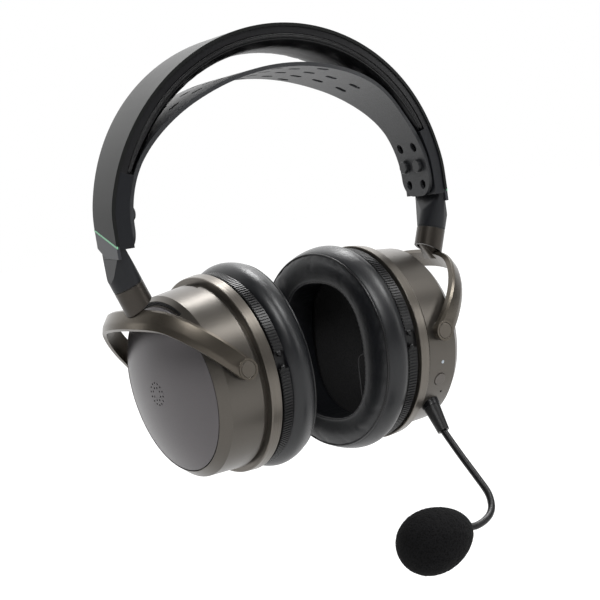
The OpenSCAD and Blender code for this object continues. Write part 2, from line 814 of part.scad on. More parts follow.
module yoke_bar() {
  rings = [for (a = bar_places()) bar_section(a)];
  m = len(rings[0]);
  n = len(rings);
  union() {
    polyhedron(
      points = [for (r = rings) each r],
      faces = concat(
        [for (i = [0 : n - 2]) for (j = [0 : m - 1]) let (k = (j + 1) % m) each [
          [i * m + j, (i + 1) * m + k, i * m + k], [i * m + j, (i + 1) * m + j, (i + 1) * m + k]]],
        [for (j = [1 : m - 2]) [0, j, j + 1]],
        [for (j = [1 : m - 2]) let (e = (n - 1) * m) [e, e + j + 1, e + j]]
      ), convexity = 6);
    for (k = [-1, 1])
      translate([pivot_x, cup_y, pivot_z])
        rotate([-k * 90, 0, 0])
          translate([0, 0, arm_in])
            cylinder(r = arm_end_r, h = yoke_t);
  }
}

// The neck that joins the bar to the hub inside the collar
root_half = 5;
module yoke_root() {
  hull() {
    collar_frame()
      translate([0, 0, -collar_l + 1])
        cylinder(r = hub_r, h = eps, $fn = 48);
    translate([yoke_reach - 7, -root_half, apex_z - 2])
      cube([3, 2 * root_half, 5]);
  }
}

module yoke(side) {
  color([0.36, 0.34, 0.31])
    turned(side)
      difference() {
        union() {
          yoke_bar();
          yoke_root();
          collar_frame()
            translate([0, 0, -collar_l])
              cylinder(r = hub_r, h = collar_l - hub_top);
        }
        for (k = [-1, 1])
          translate([pivot_x, cup_y, pivot_z])
            rotate([k * 90, 0, 0]) {
              cylinder(r = pivot_r, h = arm_out + 1);
              translate([0, 0, arm_out - pivot_head_t])
                cylinder(r = pivot_head_r + head_gap, h = pivot_head_t + 1);
            }
      }
}
module yoke_right() yoke(-1);
module yoke_left() yoke(1);

pin_in = cavity_r + 0.6;
module pivot_pins(side) {
  color([0.34, 0.32, 0.30])
    turned(side)
      for (k = [-1, 1])
        translate([pivot_x, cup_y, pivot_z])
          rotate([k * 90, 0, 0]) {
            translate([0, 0, pin_in])
              cylinder(r = pivot_r, h = arm_out - pin_in - eps);
            translate([0, 0, arm_out - pivot_head_t])
              cylinder(r = pivot_head_r, h = pivot_head_t);
          }
}
module pivot_pins_right() pivot_pins(-1);
module pivot_pins_left() pivot_pins(1);

// ---------------------------------------------------------------- ear cup

module back_cover(side) {
  color([0.42, 0.40, 0.41])
    cup_frame(side)
      difference() {
        union() {
          intersection() {
            translate([0, 0, rim_z + dome_rise - dome_r])
              sphere(r = dome_r, $fn = 180);
            translate([0, 0, cover_seat])
              cylinder(r = cover_r, h = cover_t + dome_rise + 1);
          }
        }
        intersection() {
          translate([0, 0, rim_z + dome_rise - dome_r])
            sphere(r = dome_r - cover_t, $fn = 180);
          translate([0, 0, cover_seat - 1])
            cylinder(r = cavity_r - 1.5, h = cover_t + dome_rise + 1);
        }
        for (ring = [[vent_in_r, vent_in_n], [vent_out_r, vent_out_n]])
          for (k = [0 : ring[1] - 1])
            rotate([0, 0, (k + 0.5) * 360 / ring[1]])
              translate([ring[0], 0, cover_seat])
                cylinder(d = vent_d, h = cover_t + dome_rise + 2, $fn = 16);
      }
}
module back_cover_right() back_cover(-1);
module back_cover_left() back_cover(1);

module top_vent(r0, r1, z0, half) {
  rotate([0, 0, 90 - half])
    rotate_extrude(angle = 2 * half)
      translate([r0, z0])
        square([r1 - r0, rim_z + 2 - z0]);
}

vent_r0 = chamfer_r - 0.05;
vent_r1 = chamfer_r + top_vent_w;
vent_floor = rim_z - 4;
pivot_at = [0, pivot_up, pivot_out];
module cup_body(side) {
  color([0.36, 0.34, 0.31])
    cup_frame(side)
      difference() {
        union() {
          rotate_extrude($fn = 180)
            polygon([
              [pocket_r, flange_t], [lip_r, flange_t], [lip_r, groove_top],
              [body_r - 0.6, groove_top], [body_r, groove_top + 0.6],
              [corner_r, body_l], [chamfer_r, rim_z], [chamfer_r, cover_seat],
              [cavity_r, cover_seat], [cavity_r, pocket_z], [pocket_r, pocket_z]
            ]);
          for (k = [-1, 1])
            translate(pivot_at)
              rotate([0, k * 90, 0])
                translate([0, 0, cavity_r + 2])
                  cylinder(r = boss_r, h = arm_in - boss_gap - cavity_r - 2);
        }
        for (k = [-1, 1])
          translate(pivot_at)
            rotate([0, k * 90, 0])
              translate([0, 0, cavity_r - 6])
                cylinder(r = pivot_r + run_fit, h = 20);
        top_vent(vent_r0, vent_r1, vent_floor, top_vent_half);
        rotate([0, 0, slot_angle])
          translate([body_r - 3, -6, groove_top - 0.5])
            cube([6, 12, 3]);
        for (a = screw_angles)
          rotate([0, 0, a])
            translate([screw_at, 0, flange_t - 1])
              cylinder(r = screw_r, h = 8, $fn = 24);
        if (side > 0)
          left_cuts();
      }
}
module left_cuts() {
  on_wall(button_at, cavity_r - 1)
    cylinder(r = button_r + button_gap, h = body_wall + 4);
  on_wall(light_at, cavity_r - 1)
    cylinder(r = light_r, h = body_wall + 4, $fn = 24);
  on_wall(sound_hole_at, corner_r - 2)
    cylinder(r = 0.7, h = 4, $fn = 24);
  boom_frame()
    translate([0, 0, -socket_l - 4])
      cylinder(r = socket_r, h = socket_l + 14);
  rotate([0, 0, wheel_at[0]])
    translate([cavity_r - 3, -wheel_r - wheel_gap, wheel_at[1] - wheel_t / 2 - wheel_gap / 2])
      cube([body_wall + 6, 2 * wheel_r + 2 * wheel_gap, wheel_t + wheel_gap]);
  on_wall(port_at, cavity_r - 1)
    translate([-1.65, -4.65, 0])
      cube([3.3, 9.3, body_wall + 4]);
  on_wall(jack_at, cavity_r - 1)
    cylinder(r = jack_r, h = body_wall + 4);
}
module cup_body_right() cup_body(-1);
module cup_body_left() cup_body(1);

module vent_insert(side) {
  half = top_vent_half - 0.5;
  low = vent_r0 + 0.2;
  color([0.04, 0.04, 0.045])
    cup_frame(side)
      rotate([0, 0, 90 - half])
        rotate_extrude(angle = 2 * half) {
          translate([low, vent_floor])
            square([top_vent_w - 0.4, 0.8]);
          for (k = [0 : 1])
            translate([low + 0.3 + k * 0.8, vent_floor + 0.8 - eps])
              square([0.4, 1]);
        }
}
module vent_insert_right() vent_insert(-1);
module vent_insert_left() vent_insert(1);

module baffle_ring(side) {
  color([0.40, 0.38, 0.35])
    cup_frame(side)
      difference() {
        rotate_extrude($fn = 180)
          polygon([
            [baffle_open_r, 0], [flange_r - 0.3, 0], [flange_r, 0.3], [flange_r - 0.5, flange_t - 0.4],
            [flange_r - 0.9, flange_t], [pocket_r, flange_t], [pocket_r, baffle_plate],
            [baffle_open_r, baffle_plate]
          ]);
        for (a = screw_angles)
          rotate([0, 0, a])
            translate([screw_at, 0, -1]) {
              cylinder(r = screw_r + 0.1, h = flange_t + 2, $fn = 24);
              cylinder(r = screw_head_r + 0.1, h = 1 + baffle_plate, $fn = 24);
            }
      }
}
module baffle_ring_right() baffle_ring(-1);
module baffle_ring_left() baffle_ring(1);

module cup_screws(side) {
  color([0.15, 0.15, 0.15])
    cup_frame(side)
      for (a = screw_angles)
        rotate([0, 0, a])
          translate([screw_at, 0, 0.3])
            difference() {
              union() {
                cylinder(r = screw_head_r, h = baffle_plate - 0.3, $fn = 24);
                cylinder(r = screw_r, h = flange_t + 6, $fn = 24);
              }
              translate([0, 0, -1])
                cylinder(r = 0.8, h = 2, $fn = 6);
            }
}
module cup_screws_right() cup_screws(-1);
module cup_screws_left() cup_screws(1);

module driver_frame(side) {
  color([0.2, 0.2, 0.21])
    cup_frame(side) {
      rotate_extrude()
        polygon([
          [driver_open_r, driver_z], [driver_r, driver_z], [driver_r, driver_top],
          [driver_open_r + ledge_w, driver_top], [driver_open_r + ledge_w, ledge_z],
          [driver_open_r, ledge_z]
        ]);
      for (a = side > 0 ? board_posts : battery_posts)
        rotate([0, 0, a])
          translate([post_at, 0, driver_top - eps])
            cylinder(r = post_r, h = eps + (side > 0 ? board_post_l : battery_post_l), $fn = 24);
    }
}
module driver_frame_right() driver_frame(-1);
module driver_frame_left() driver_frame(1);

module driver_film(side) {
  color([0.75, 0.72, 0.62])
    cup_frame(side)
      translate([0, 0, ledge_z])
        cylinder(r = driver_open_r + ledge_w - 0.2, h = film_t);
}
module driver_film_right() driver_film(-1);
module driver_film_left() driver_film(1);

module driver_magnets(side) {
  span = driver_open_r + ledge_w - 0.2;
  pitch = 2 * (driver_open_r - magnet_w) / (magnet_count - 1) * 0.92;
  color([0.5, 0.5, 0.52])
    cup_frame(side)
      for (i = [0 : magnet_count - 1]) {
        x = (i - (magnet_count - 1) / 2) * pitch;
        half = sqrt(span * span - pow(abs(x) + magnet_w / 2, 2));
        translate([x - magnet_w / 2, -half, ledge_z + film_t])
          cube([magnet_w, 2 * half, driver_t + driver_z - ledge_z - film_t]);
      }
}
module driver_magnets_right() driver_magnets(-1);
module driver_magnets_left() driver_magnets(1);

module battery() {
  color([0.2, 0.3, 0.45])
    cup_frame(-1)
      translate([-battery_half, -battery_half, driver_top + battery_post_l])
        cube([2 * battery_half, 2 * battery_half, battery_t]);
}

chip_t = 1.2;
board_chips = [[-18, 6, 12], [4, -12, 9], [10, 12, 6]];
module circuit_board() {
  color([0.05, 0.25, 0.12])
    cup_frame(1)
      translate([0, 0, driver_top + board_post_l]) {
        cylinder(r = board_r, h = board_t);
        for (c = board_chips)
          translate([c[0], c[1], board_t - eps])
            cube([c[2], c[2], chip_t]);
      }
}

module status_light() {
  color([0.7, 0.75, 0.8])
    cup_frame(1)
      on_wall(light_at, cavity_r)
        cylinder(r = light_r, h = wall_r(light_at[1]) - cavity_r, $fn = 24);
}

module power_button() {
  color([0.35, 0.33, 0.31])
    cup_frame(1)
      on_wall(button_at, cavity_r - 1) {
        cylinder(r = button_r, h = wall_r(button_at[1]) + button_proud - cavity_r + 1);
        cylinder(r = button_r + button_rim, h = 0.6);
      }
}

wheel_centre = [wall_r(wheel_at[1]) + wheel_proud - wheel_r, wheel_at[1]];
module volume_wheel() {
  color([0.12, 0.12, 0.13])
    cup_frame(1)
      rotate([0, 0, wheel_at[0]])
        translate([wheel_centre[0], 0, wheel_centre[1] - wheel_t / 2])
          difference() {
            cylinder(r = wheel_r, h = wheel_t);
            translate([0, 0, -1])
              cylinder(r = axle_r + run_fit, h = wheel_t + 2, $fn = 24);
            for (a = [0 : 12 : 348])
              rotate([0, 0, a])
                translate([wheel_r + 0.35, 0, -1])
                  cylinder(r = 0.7, h = wheel_t + 2, $fn = 13);
          }
}

module wheel_bracket() {
  low = driver_top;
  gap = wheel_centre[1] - wheel_t / 2 - low;
  color([0.1, 0.1, 0.1])
    cup_frame(1)
      rotate([0, 0, wheel_at[0]]) {
        intersection() {
          translate([driver_open_r + ledge_w + 0.2, -6, low])
            cube([8, 12, gap]);
          cylinder(r = cavity_r - 0.05, h = 3 * low);
        }
        translate([wheel_centre[0], 0, low + 0.4])
          cylinder(r = axle_r, h = gap + wheel_t + 0.6, $fn = 24);
      }
}

module charge_port() {
  color([0.6, 0.6, 0.62])
    cup_frame(1)
      on_wall(port_at, cavity_r - 3)
        difference() {
          translate([-1.65, -4.65, 0])
            cube([3.3, 9.3, wall_r(port_at[1]) - cavity_r + 2.6]);
          translate([-1.25, -4.2, 2])
            cube([2.5, 8.4, body_wall + 5]);
        }
}

module audio_jack() {
  color([0.1, 0.1, 0.1])
    cup_frame(1)
      on_wall(jack_at, wall_r(jack_at[1]) - jack_l - jack_back)
        difference() {
          cylinder(r = jack_r, h = jack_l + jack_back);
          translate([0, 0, jack_back])
            cylinder(r = jack_bore_r, h = jack_l + 1);
        }
}

module mic_socket() {
  color([0.08, 0.08, 0.085])
    cup_frame(1)
      boom_frame()
        difference() {
          translate([0, 0, -socket_l])
            cylinder(r = socket_r, h = socket_l + socket_lift);
          translate([0, 0, -plug_l - 0.5])
            cylinder(r = plug_r + run_fit, h = plug_l + socket_lift + 2);
        }
}

// ---------------------------------------------------------------- twist-lock pads

notch_d = 1.8;
module pad_ring(side) {
  color([0.06, 0.06, 0.065])
    cup_frame(side)
      difference() {
        rotate_extrude($fn = 180)
          polygon([
            [lock_open_r, 0], [lock_neck_r, 0], [lock_neck_r, -lock_neck], [lock_r, -lock_neck],
            [lock_r, -lock_t], [lock_open_r + 3, -lock_t], [lock_open_r + 3, cloth_z],
            [lock_open_r, cloth_z]
          ]);
        for (k = [0, 180])
          rotate([0, 0, k])
            translate([lock_r - notch_d, k > 0 ? -8.9 : 0.9, -lock_t - 1])
              cube([4, 8, lock_t + 2]);
      }
}
module pad_ring_right() pad_ring(-1);
module pad_ring_left() pad_ring(1);

module pad_cloth(side) {
  color([0.03, 0.03, 0.03])
    cup_frame(side)
      translate([0, 0, cloth_z - cloth_t])
        cylinder(r = lock_open_r + 2.9, h = cloth_t);
}
module pad_cloth_right() pad_cloth(-1);
module pad_cloth_left() pad_cloth(1);

// Cushion with a crowned front, a seam round its side, a stitched seam in the opening and drawn-in sides
module ear_pad(side) {
  m = len(pad_section);
  pts = [for (i = [0 : pad_sides - 1]) let (a = i * 360 / pad_sides, ri = ear_r(a)) for (q = pad_section)
    let (r = mix(pad_base_r, ri, q[1]) + q[0] * pad_bulge, x = r * cos(a))
      [x + q[1], r * sin(a) - 0.6 * q[1], -lock_t - q[2] * (pad_front - lock_t + pad_wedge * x)]];
  faces = [for (i = [0 : pad_sides - 1]) for (j = [0 : m - 1])
    let (k = (i + 1) % pad_sides, l = (j + 1) % m) each [
      [i * m + j, k * m + l, i * m + l], [i * m + j, k * m + j, k * m + l]]];
  color([0.05, 0.05, 0.052])
    cup_frame(side)
      polyhedron(points = pts, faces = faces, convexity = 6);
}
module ear_pad_right() ear_pad(-1);
module ear_pad_left() ear_pad(1);

// ---------------------------------------------------------------- boom microphone

module mic_plug() {
  color([0.75, 0.65, 0.4])
    cup_frame(1)
      boom_frame()
        translate([0, 0, -plug_l]) {
          cylinder(r1 = plug_r - 0.6, r2 = plug_r, h = 1.4, $fn = 32);
          translate([0, 0, 1.4])
            cylinder(r = plug_r, h = plug_l - 1.4 + socket_lift + plug_into_boot - 0.2);
        }
}

module boom_boot() {
  color([0.06, 0.06, 0.065])
    cup_frame(1)
      boom_frame()
        difference() {
          translate([0, 0, socket_lift])
            cylinder(r1 = boot_r1, r2 = boot_r2, h = boot_l - socket_lift);
          cylinder(r = plug_r + run_fit, h = socket_lift + plug_into_boot);
        }
}

// A smooth curve through the gooseneck's points
function curve_at(p, i, t) =
  let (a = p[max(0, i - 1)], b = p[i], c = p[i + 1], d = p[min(len(p) - 1, i + 2)])
  0.5 * (2 * b + (c - a) * t + (2 * a - 5 * b + 4 * c - d) * t * t + (3 * b - 3 * c + d - a) * t * t * t);
neck_parts = 4;
neck_sides = 10;
module gooseneck() {
  path = concat([for (i = [0 : len(neck_points) - 2]) for (k = [0 : neck_parts - 1])
    curve_at(neck_points, i, k / neck_parts)], [neck_points[len(neck_points) - 1]]);
  n = len(path);
  tangents = [for (i = [0 : n - 1]) i == 0 ? boom_dir
    : unit(path[min(n - 1, i + 1)] - path[i - 1])];
  pts = [for (i = [0 : n - 1])
    let (t = tangents[i], u = unit(side_of(t)), v = cross(t, u))
    for (j = [0 : neck_sides - 1]) let (a = j * 360 / neck_sides)
      path[i] + neck_d / 2 * (cos(a) * u + sin(a) * v)];
  m = neck_sides;
  faces = concat(
    [for (i = [0 : n - 2]) for (j = [0 : m - 1]) each [
      [i * m + j, (i + 1) * m + (j + 1) % m, i * m + (j + 1) % m],
      [i * m + j, (i + 1) * m + j, (i + 1) * m + (j + 1) % m]]],
    [for (j = [1 : m - 2]) [0, j, j + 1]],
    [for (j = [1 : m - 2]) let (e = (n - 1) * m) [e, e + j + 1, e + j]]
  );
  color([0.07, 0.07, 0.07])
    cup_frame(1)
      polyhedron(points = pts, faces = faces, convexity = 8);
}
// A direction square to the path that changes smoothly along it
function side_of(t) = cross([0.79, -0.61, 0], t);

module foam_frame() {
  along = unit(foam_dir);
  turn_z = atan2(along.y, along.x);
  turn_y = acos(along.z);
  translate(foam_at)
    rotate([0, turn_y, turn_z])
      children();
}

module mic_capsule() {
  color([0.12, 0.12, 0.12])
    cup_frame(1)
      foam_frame()
        translate([0, 0, -capsule_back])
          difference() {
            cylinder(r = capsule_r, h = capsule_l);
            translate([0, 0, capsule_l - 1])
              cylinder(r = 2.5, h = 2);
          }
}

// Egg of foam, fuller away from the gooseneck
foam_steps = 12;
foam_skew = 0.15;
function foam_profile(k) = let (a = -90 + k * 180 / foam_steps)
  [foam_r * cos(a) * (1 + foam_skew * sin(a)), foam_half_l * sin(a)];
module windscreen() {
  color([0.04, 0.04, 0.04])
    cup_frame(1)
      foam_frame()
        difference() {
          rotate_extrude($fn = 48)
            polygon(concat([[0, -foam_half_l]],
              [for (k = [1 : foam_steps - 1]) foam_profile(k)], [[0, foam_half_l]]));
          translate([0, 0, -capsule_back])
            cylinder(r = capsule_r, h = capsule_l);
          translate([0, 0, -foam_half_l - 1])
            cylinder(r = neck_d / 2 + foam_bore, h = foam_half_l + 2 - capsule_back);
        }
}

headband_skin();
headband_frame();
headband_spring();
headband_pad();
accent_lines();
end_cap_right();
end_cap_left();
end_cover_right();
end_cover_left();
strap_studs();
suspension_strap();
collar_right();
yoke_right();
swivel_pin_right();
swivel_washer_right();
pivot_pins_right();
collar_left();
yoke_left();
swivel_pin_left();
swivel_washer_left();
pivot_pins_left();
back_cover_right();
cup_body_right();
baffle_ring_right();
vent_insert_right();
driver_frame_right();
driver_magnets_right();
driver_film_right();
cup_screws_right();
battery();
back_cover_left();
cup_body_left();
baffle_ring_left();
vent_insert_left();
driver_frame_left();
driver_magnets_left();
driver_film_left();
cup_screws_left();
circuit_board();
status_light();
power_button();
volume_wheel();
wheel_bracket();
charge_port();
audio_jack();
mic_socket();
pad_ring_right();
pad_cloth_right();
ear_pad_right();
pad_ring_left();
pad_cloth_left();
ear_pad_left();
mic_plug();
boom_boot();
gooseneck();
mic_capsule();
windscreen();
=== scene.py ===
"""Dresses an over-ear wireless headset with a plug-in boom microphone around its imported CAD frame."""

import json
import logging
import math
from collections.abc import Callable, Sequence
from dataclasses import dataclass, field
from enum import Enum

import bmesh
import bpy
import numpy as np
from mathutils import Matrix, Vector

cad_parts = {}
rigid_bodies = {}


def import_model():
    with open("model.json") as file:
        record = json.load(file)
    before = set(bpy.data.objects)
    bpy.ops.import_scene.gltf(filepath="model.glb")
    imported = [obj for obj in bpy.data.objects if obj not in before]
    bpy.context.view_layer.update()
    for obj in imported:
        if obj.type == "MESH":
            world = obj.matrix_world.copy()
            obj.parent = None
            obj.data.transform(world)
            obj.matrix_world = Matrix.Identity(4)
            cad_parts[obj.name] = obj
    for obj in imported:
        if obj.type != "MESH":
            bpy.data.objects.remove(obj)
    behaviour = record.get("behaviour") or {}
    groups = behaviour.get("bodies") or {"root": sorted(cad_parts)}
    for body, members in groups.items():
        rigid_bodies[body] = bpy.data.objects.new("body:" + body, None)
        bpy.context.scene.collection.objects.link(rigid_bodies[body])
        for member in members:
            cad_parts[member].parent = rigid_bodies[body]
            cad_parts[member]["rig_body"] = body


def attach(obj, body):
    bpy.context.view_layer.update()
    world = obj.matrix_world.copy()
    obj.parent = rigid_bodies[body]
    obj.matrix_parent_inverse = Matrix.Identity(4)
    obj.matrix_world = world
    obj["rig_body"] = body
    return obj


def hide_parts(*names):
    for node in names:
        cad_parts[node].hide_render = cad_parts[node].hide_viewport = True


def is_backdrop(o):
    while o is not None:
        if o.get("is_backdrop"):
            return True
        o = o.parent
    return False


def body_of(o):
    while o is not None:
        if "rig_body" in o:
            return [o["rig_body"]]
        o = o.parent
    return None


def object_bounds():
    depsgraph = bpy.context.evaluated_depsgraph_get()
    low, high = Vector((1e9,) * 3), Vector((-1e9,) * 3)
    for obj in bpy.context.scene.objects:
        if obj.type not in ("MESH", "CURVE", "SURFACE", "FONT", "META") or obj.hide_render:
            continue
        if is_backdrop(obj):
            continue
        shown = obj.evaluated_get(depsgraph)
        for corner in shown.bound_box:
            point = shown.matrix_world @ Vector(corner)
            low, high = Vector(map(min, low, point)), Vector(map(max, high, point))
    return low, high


logging.basicConfig(level=logging.INFO, format="%(name)s: %(message)s")
log = logging.getLogger("headset")

MM = 0.001
METRE = 1000.0
WHITE = (1.0, 1.0, 1.0, 1.0)
# Points closer than this are merged in a copy of a node, and edges shorter than the second are dissolved.
MERGE, SLIVER = 2e-6, 1e-7
CLOTH_FRAMES = 20
# A direction that no tube follows, and the matrix from millimetres of the row frame to its metres.
OFF_AXIS = (0.31, 0.17, 0.93)
ROW = Matrix.Diagonal((MM, MM, MM, 1))

Triple = tuple[float, float, float]
Faces = list[tuple[int, ...]]
Shape = tuple[np.ndarray, Faces]
Socket = bpy.types.NodeSocket
Coat = tuple[bpy.types.Material, str]


# ---------------------------------------------------------------- sizes and places


class Side(Enum):
    """Which side of the wearer a sub-assembly is on. The value is its sign along X."""

    RIGHT = -1
    LEFT = 1

    @property
    def word(self) -> str:
        """The side's name as the CAD nodes and bodies spell it."""
        return self.name.lower()


def smooth(t: float) -> float:
    """Returns t from 0 to 1 with soft ends."""
    k = min(1.0, max(0.0, t))
    return k * k * (3 - 2 * k)


def unit(v: np.ndarray) -> np.ndarray:
    """Returns v at length 1."""
    return v / np.linalg.norm(v)


# Each cup's turn about its collar and its lean in the yoke, at rest, in degrees.
REST: dict[Side, tuple[float, float]] = {Side.RIGHT: (-6.2, 3.8), Side.LEFT: (4.8, 1.6)}


@dataclass(frozen=True)
class Arch:
    """The headband's outer line: a crown arc and a tighter arc at each side. Millimetres."""

    half_w: float = 96.8
    top: float = 170.8
    shoulder: float = 55.0
    crown_angle: float = 76.0
    depth_end: float = 25.3
    depth_top: float = 38.9

    @property
    def crown(self) -> float:
        """Radius of the crown arc."""
        a = math.radians(self.crown_angle)
        return (self.half_w - self.shoulder * (1 - math.sin(a))) / math.sin(a)

    def at(self, inset: float, heading: float) -> np.ndarray:
        """A point of the arch.

        Args:
            inset: Depth under the outer face.
            heading: Angle from the top, in degrees, positive on the wearer's left.

        Returns:
            The point's x and z.
        """
        a = math.radians(abs(heading))
        c = math.radians(self.crown_angle)
        way = lambda h: np.array([math.sin(h), math.cos(h)])
        p = np.array([0.0, self.top]) + self.crown * (way(min(a, c)) - way(0))
        if a > c:
            p = p + self.shoulder * (way(a) - way(c))
        p = p - inset * way(a)
        return np.array([math.copysign(p[0], heading) if heading else p[0], p[1]])

    def depth(self, x: float) -> float:
        """Depth of the band, front to back, at a distance x from its middle."""
        share = smooth(math.sqrt(max(0.0, 1 - (x / self.half_w) ** 2)))
        return self.depth_end + (self.depth_top - self.depth_end) * share


@dataclass(frozen=True)
class CupFrame:
    """The cup's own frame: X to the back, Y up and Z outwards, in millimetres from its mounting plane."""

    side: Side
    collar: Triple = (89.9, -2.0, 53.3)
    collar_tilt: float = 20.0
    pivot: Triple = (56.8, 8.0, 5.0)
    pivot_up: float = 6.1
    pivot_out: float = 16.2

    def matrix(self) -> Matrix:
        """The cup's place at rest.

        Returns:
            The matrix that takes a point of the cup's frame to the row frame, in metres.
        """
        turn, tilt = REST[self.side]
        tip = math.radians(self.collar_tilt)
        axis = Vector((math.sin(tip), 0, math.cos(tip)))
        centre = Vector(self.collar)
        to_row = Matrix(((0, 0, 1, 0), (1, 0, 0, 0), (0, 1, 0, 0), (0, 0, 0, 1)))
        return (
            Matrix.Diagonal((self.side.value * MM, MM, MM, 1))
            @ Matrix.Translation(centre)
            @ Matrix.Rotation(math.radians(turn), 4, axis)
            @ Matrix.Translation(-centre)
            @ Matrix.Translation(Vector(self.pivot))
            @ Matrix.Rotation(math.radians(tilt), 4, "Y")
            @ to_row
            @ Matrix.Translation(Vector((0, -self.pivot_up, -self.pivot_out)))
        )

    def pattern(self) -> tuple[Vector, Vector]:
        """Location and Euler turn of a Mapping node that centres a pattern on the cup's axis."""
        m = self.matrix()
        out, up = m.col[2].xyz.normalized(), m.col[1].xyz.normalized()
        turn = Matrix((up.cross(out), up, out))
        return -(turn @ m.translation), Vector(turn.to_euler("XYZ"))


# ---------------------------------------------------------------- shader groups and materials


class Texture(Enum):
    """What a finish shows close up. The value names the shader group that draws it."""

    FLAKE = "FineFlake"
    MOULDED = "MouldedFace"
    LEATHER = "PebbleGrain"
    TURNED = "TurnedRings"
    CELLS = "OpenCells"


@dataclass(frozen=True)
class Finish:
    """One finish of the headset, with the numbers its material needs. Lengths are in millimetres.

    A finish with no slot of its own has the record's slot of the same name.
    """

    name: str
    colour: Triple
    roughness: float
    slot: str = ""
    texture: Texture = Texture.MOULDED
    metallic: float = 0.0
    grain: float = 1.0
    depth: float = 0.02
    variation: float = 0.08
    # How much edges are lightened: partly rubbed paint, partly a painted highlight.
    wear: float = 0.12
    edge: float = 0.25
    coat: float = 0.0
    specular: float = 0.5


class Graph:
    """A short way to place and join nodes in one node tree."""

    def __init__(self, tree: bpy.types.NodeTree) -> None:
        """Keeps the tree that nodes are placed in."""
        self.tree = tree

    @classmethod
    def cleared(cls, owner: bpy.types.Material | bpy.types.World) -> "Graph":
        """The emptied graph of a material or a world."""
        owner.use_nodes = True
        owner.node_tree.nodes.clear()
        return cls(owner.node_tree)

    def add(self, kind: str, inputs: dict | None = None, **settings: object) -> bpy.types.Node:
        """Places a node.

        Args:
            kind: The node's full type name.
            inputs: Socket name or index to a value, or to an output socket to join.
            **settings: Node properties, set before the inputs.

        Returns:
            The node.
        """
        node = self.tree.nodes.new(kind)
        for key, value in settings.items():
            setattr(node, key, value)
        for key, value in (inputs or {}).items():
            socket = node.inputs[key]
            if isinstance(value, Socket):
                self.tree.links.new(value, socket)
            else:
                socket.default_value = value
        return node

    def math(self, operation: str, a: object, b: object) -> Socket:
        """Places a Math node and returns its result."""
        return self.add("ShaderNodeMath", {0: a, 1: b}, operation=operation).outputs[0]

    def ramp(self, value: object, low: float, high: float, to_low: float, to_high: float) -> Socket:
        """Places a clamped Map Range node and returns its result."""
        keys = {"Value": value, "From Min": low, "From Max": high, "To Min": to_low, "To Max": to_high}
        return self.add("ShaderNodeMapRange", keys).outputs["Result"]

    def noise(self, place: Socket, scale: object, detail: float, distortion: float = 0.0) -> bpy.types.Node:
        """Places a Noise Texture node."""
        keys = {"Vector": place, "Scale": scale, "Detail": detail, "Distortion": distortion}
        return self.add("ShaderNodeTexNoise", keys)

    def blend(self, share: Socket, first: Socket, second: Socket) -> Socket:
        """Places a Mix Shader node and returns its result."""
        return self.add("ShaderNodeMixShader", {0: share, 1: first, 2: second}).outputs[0]


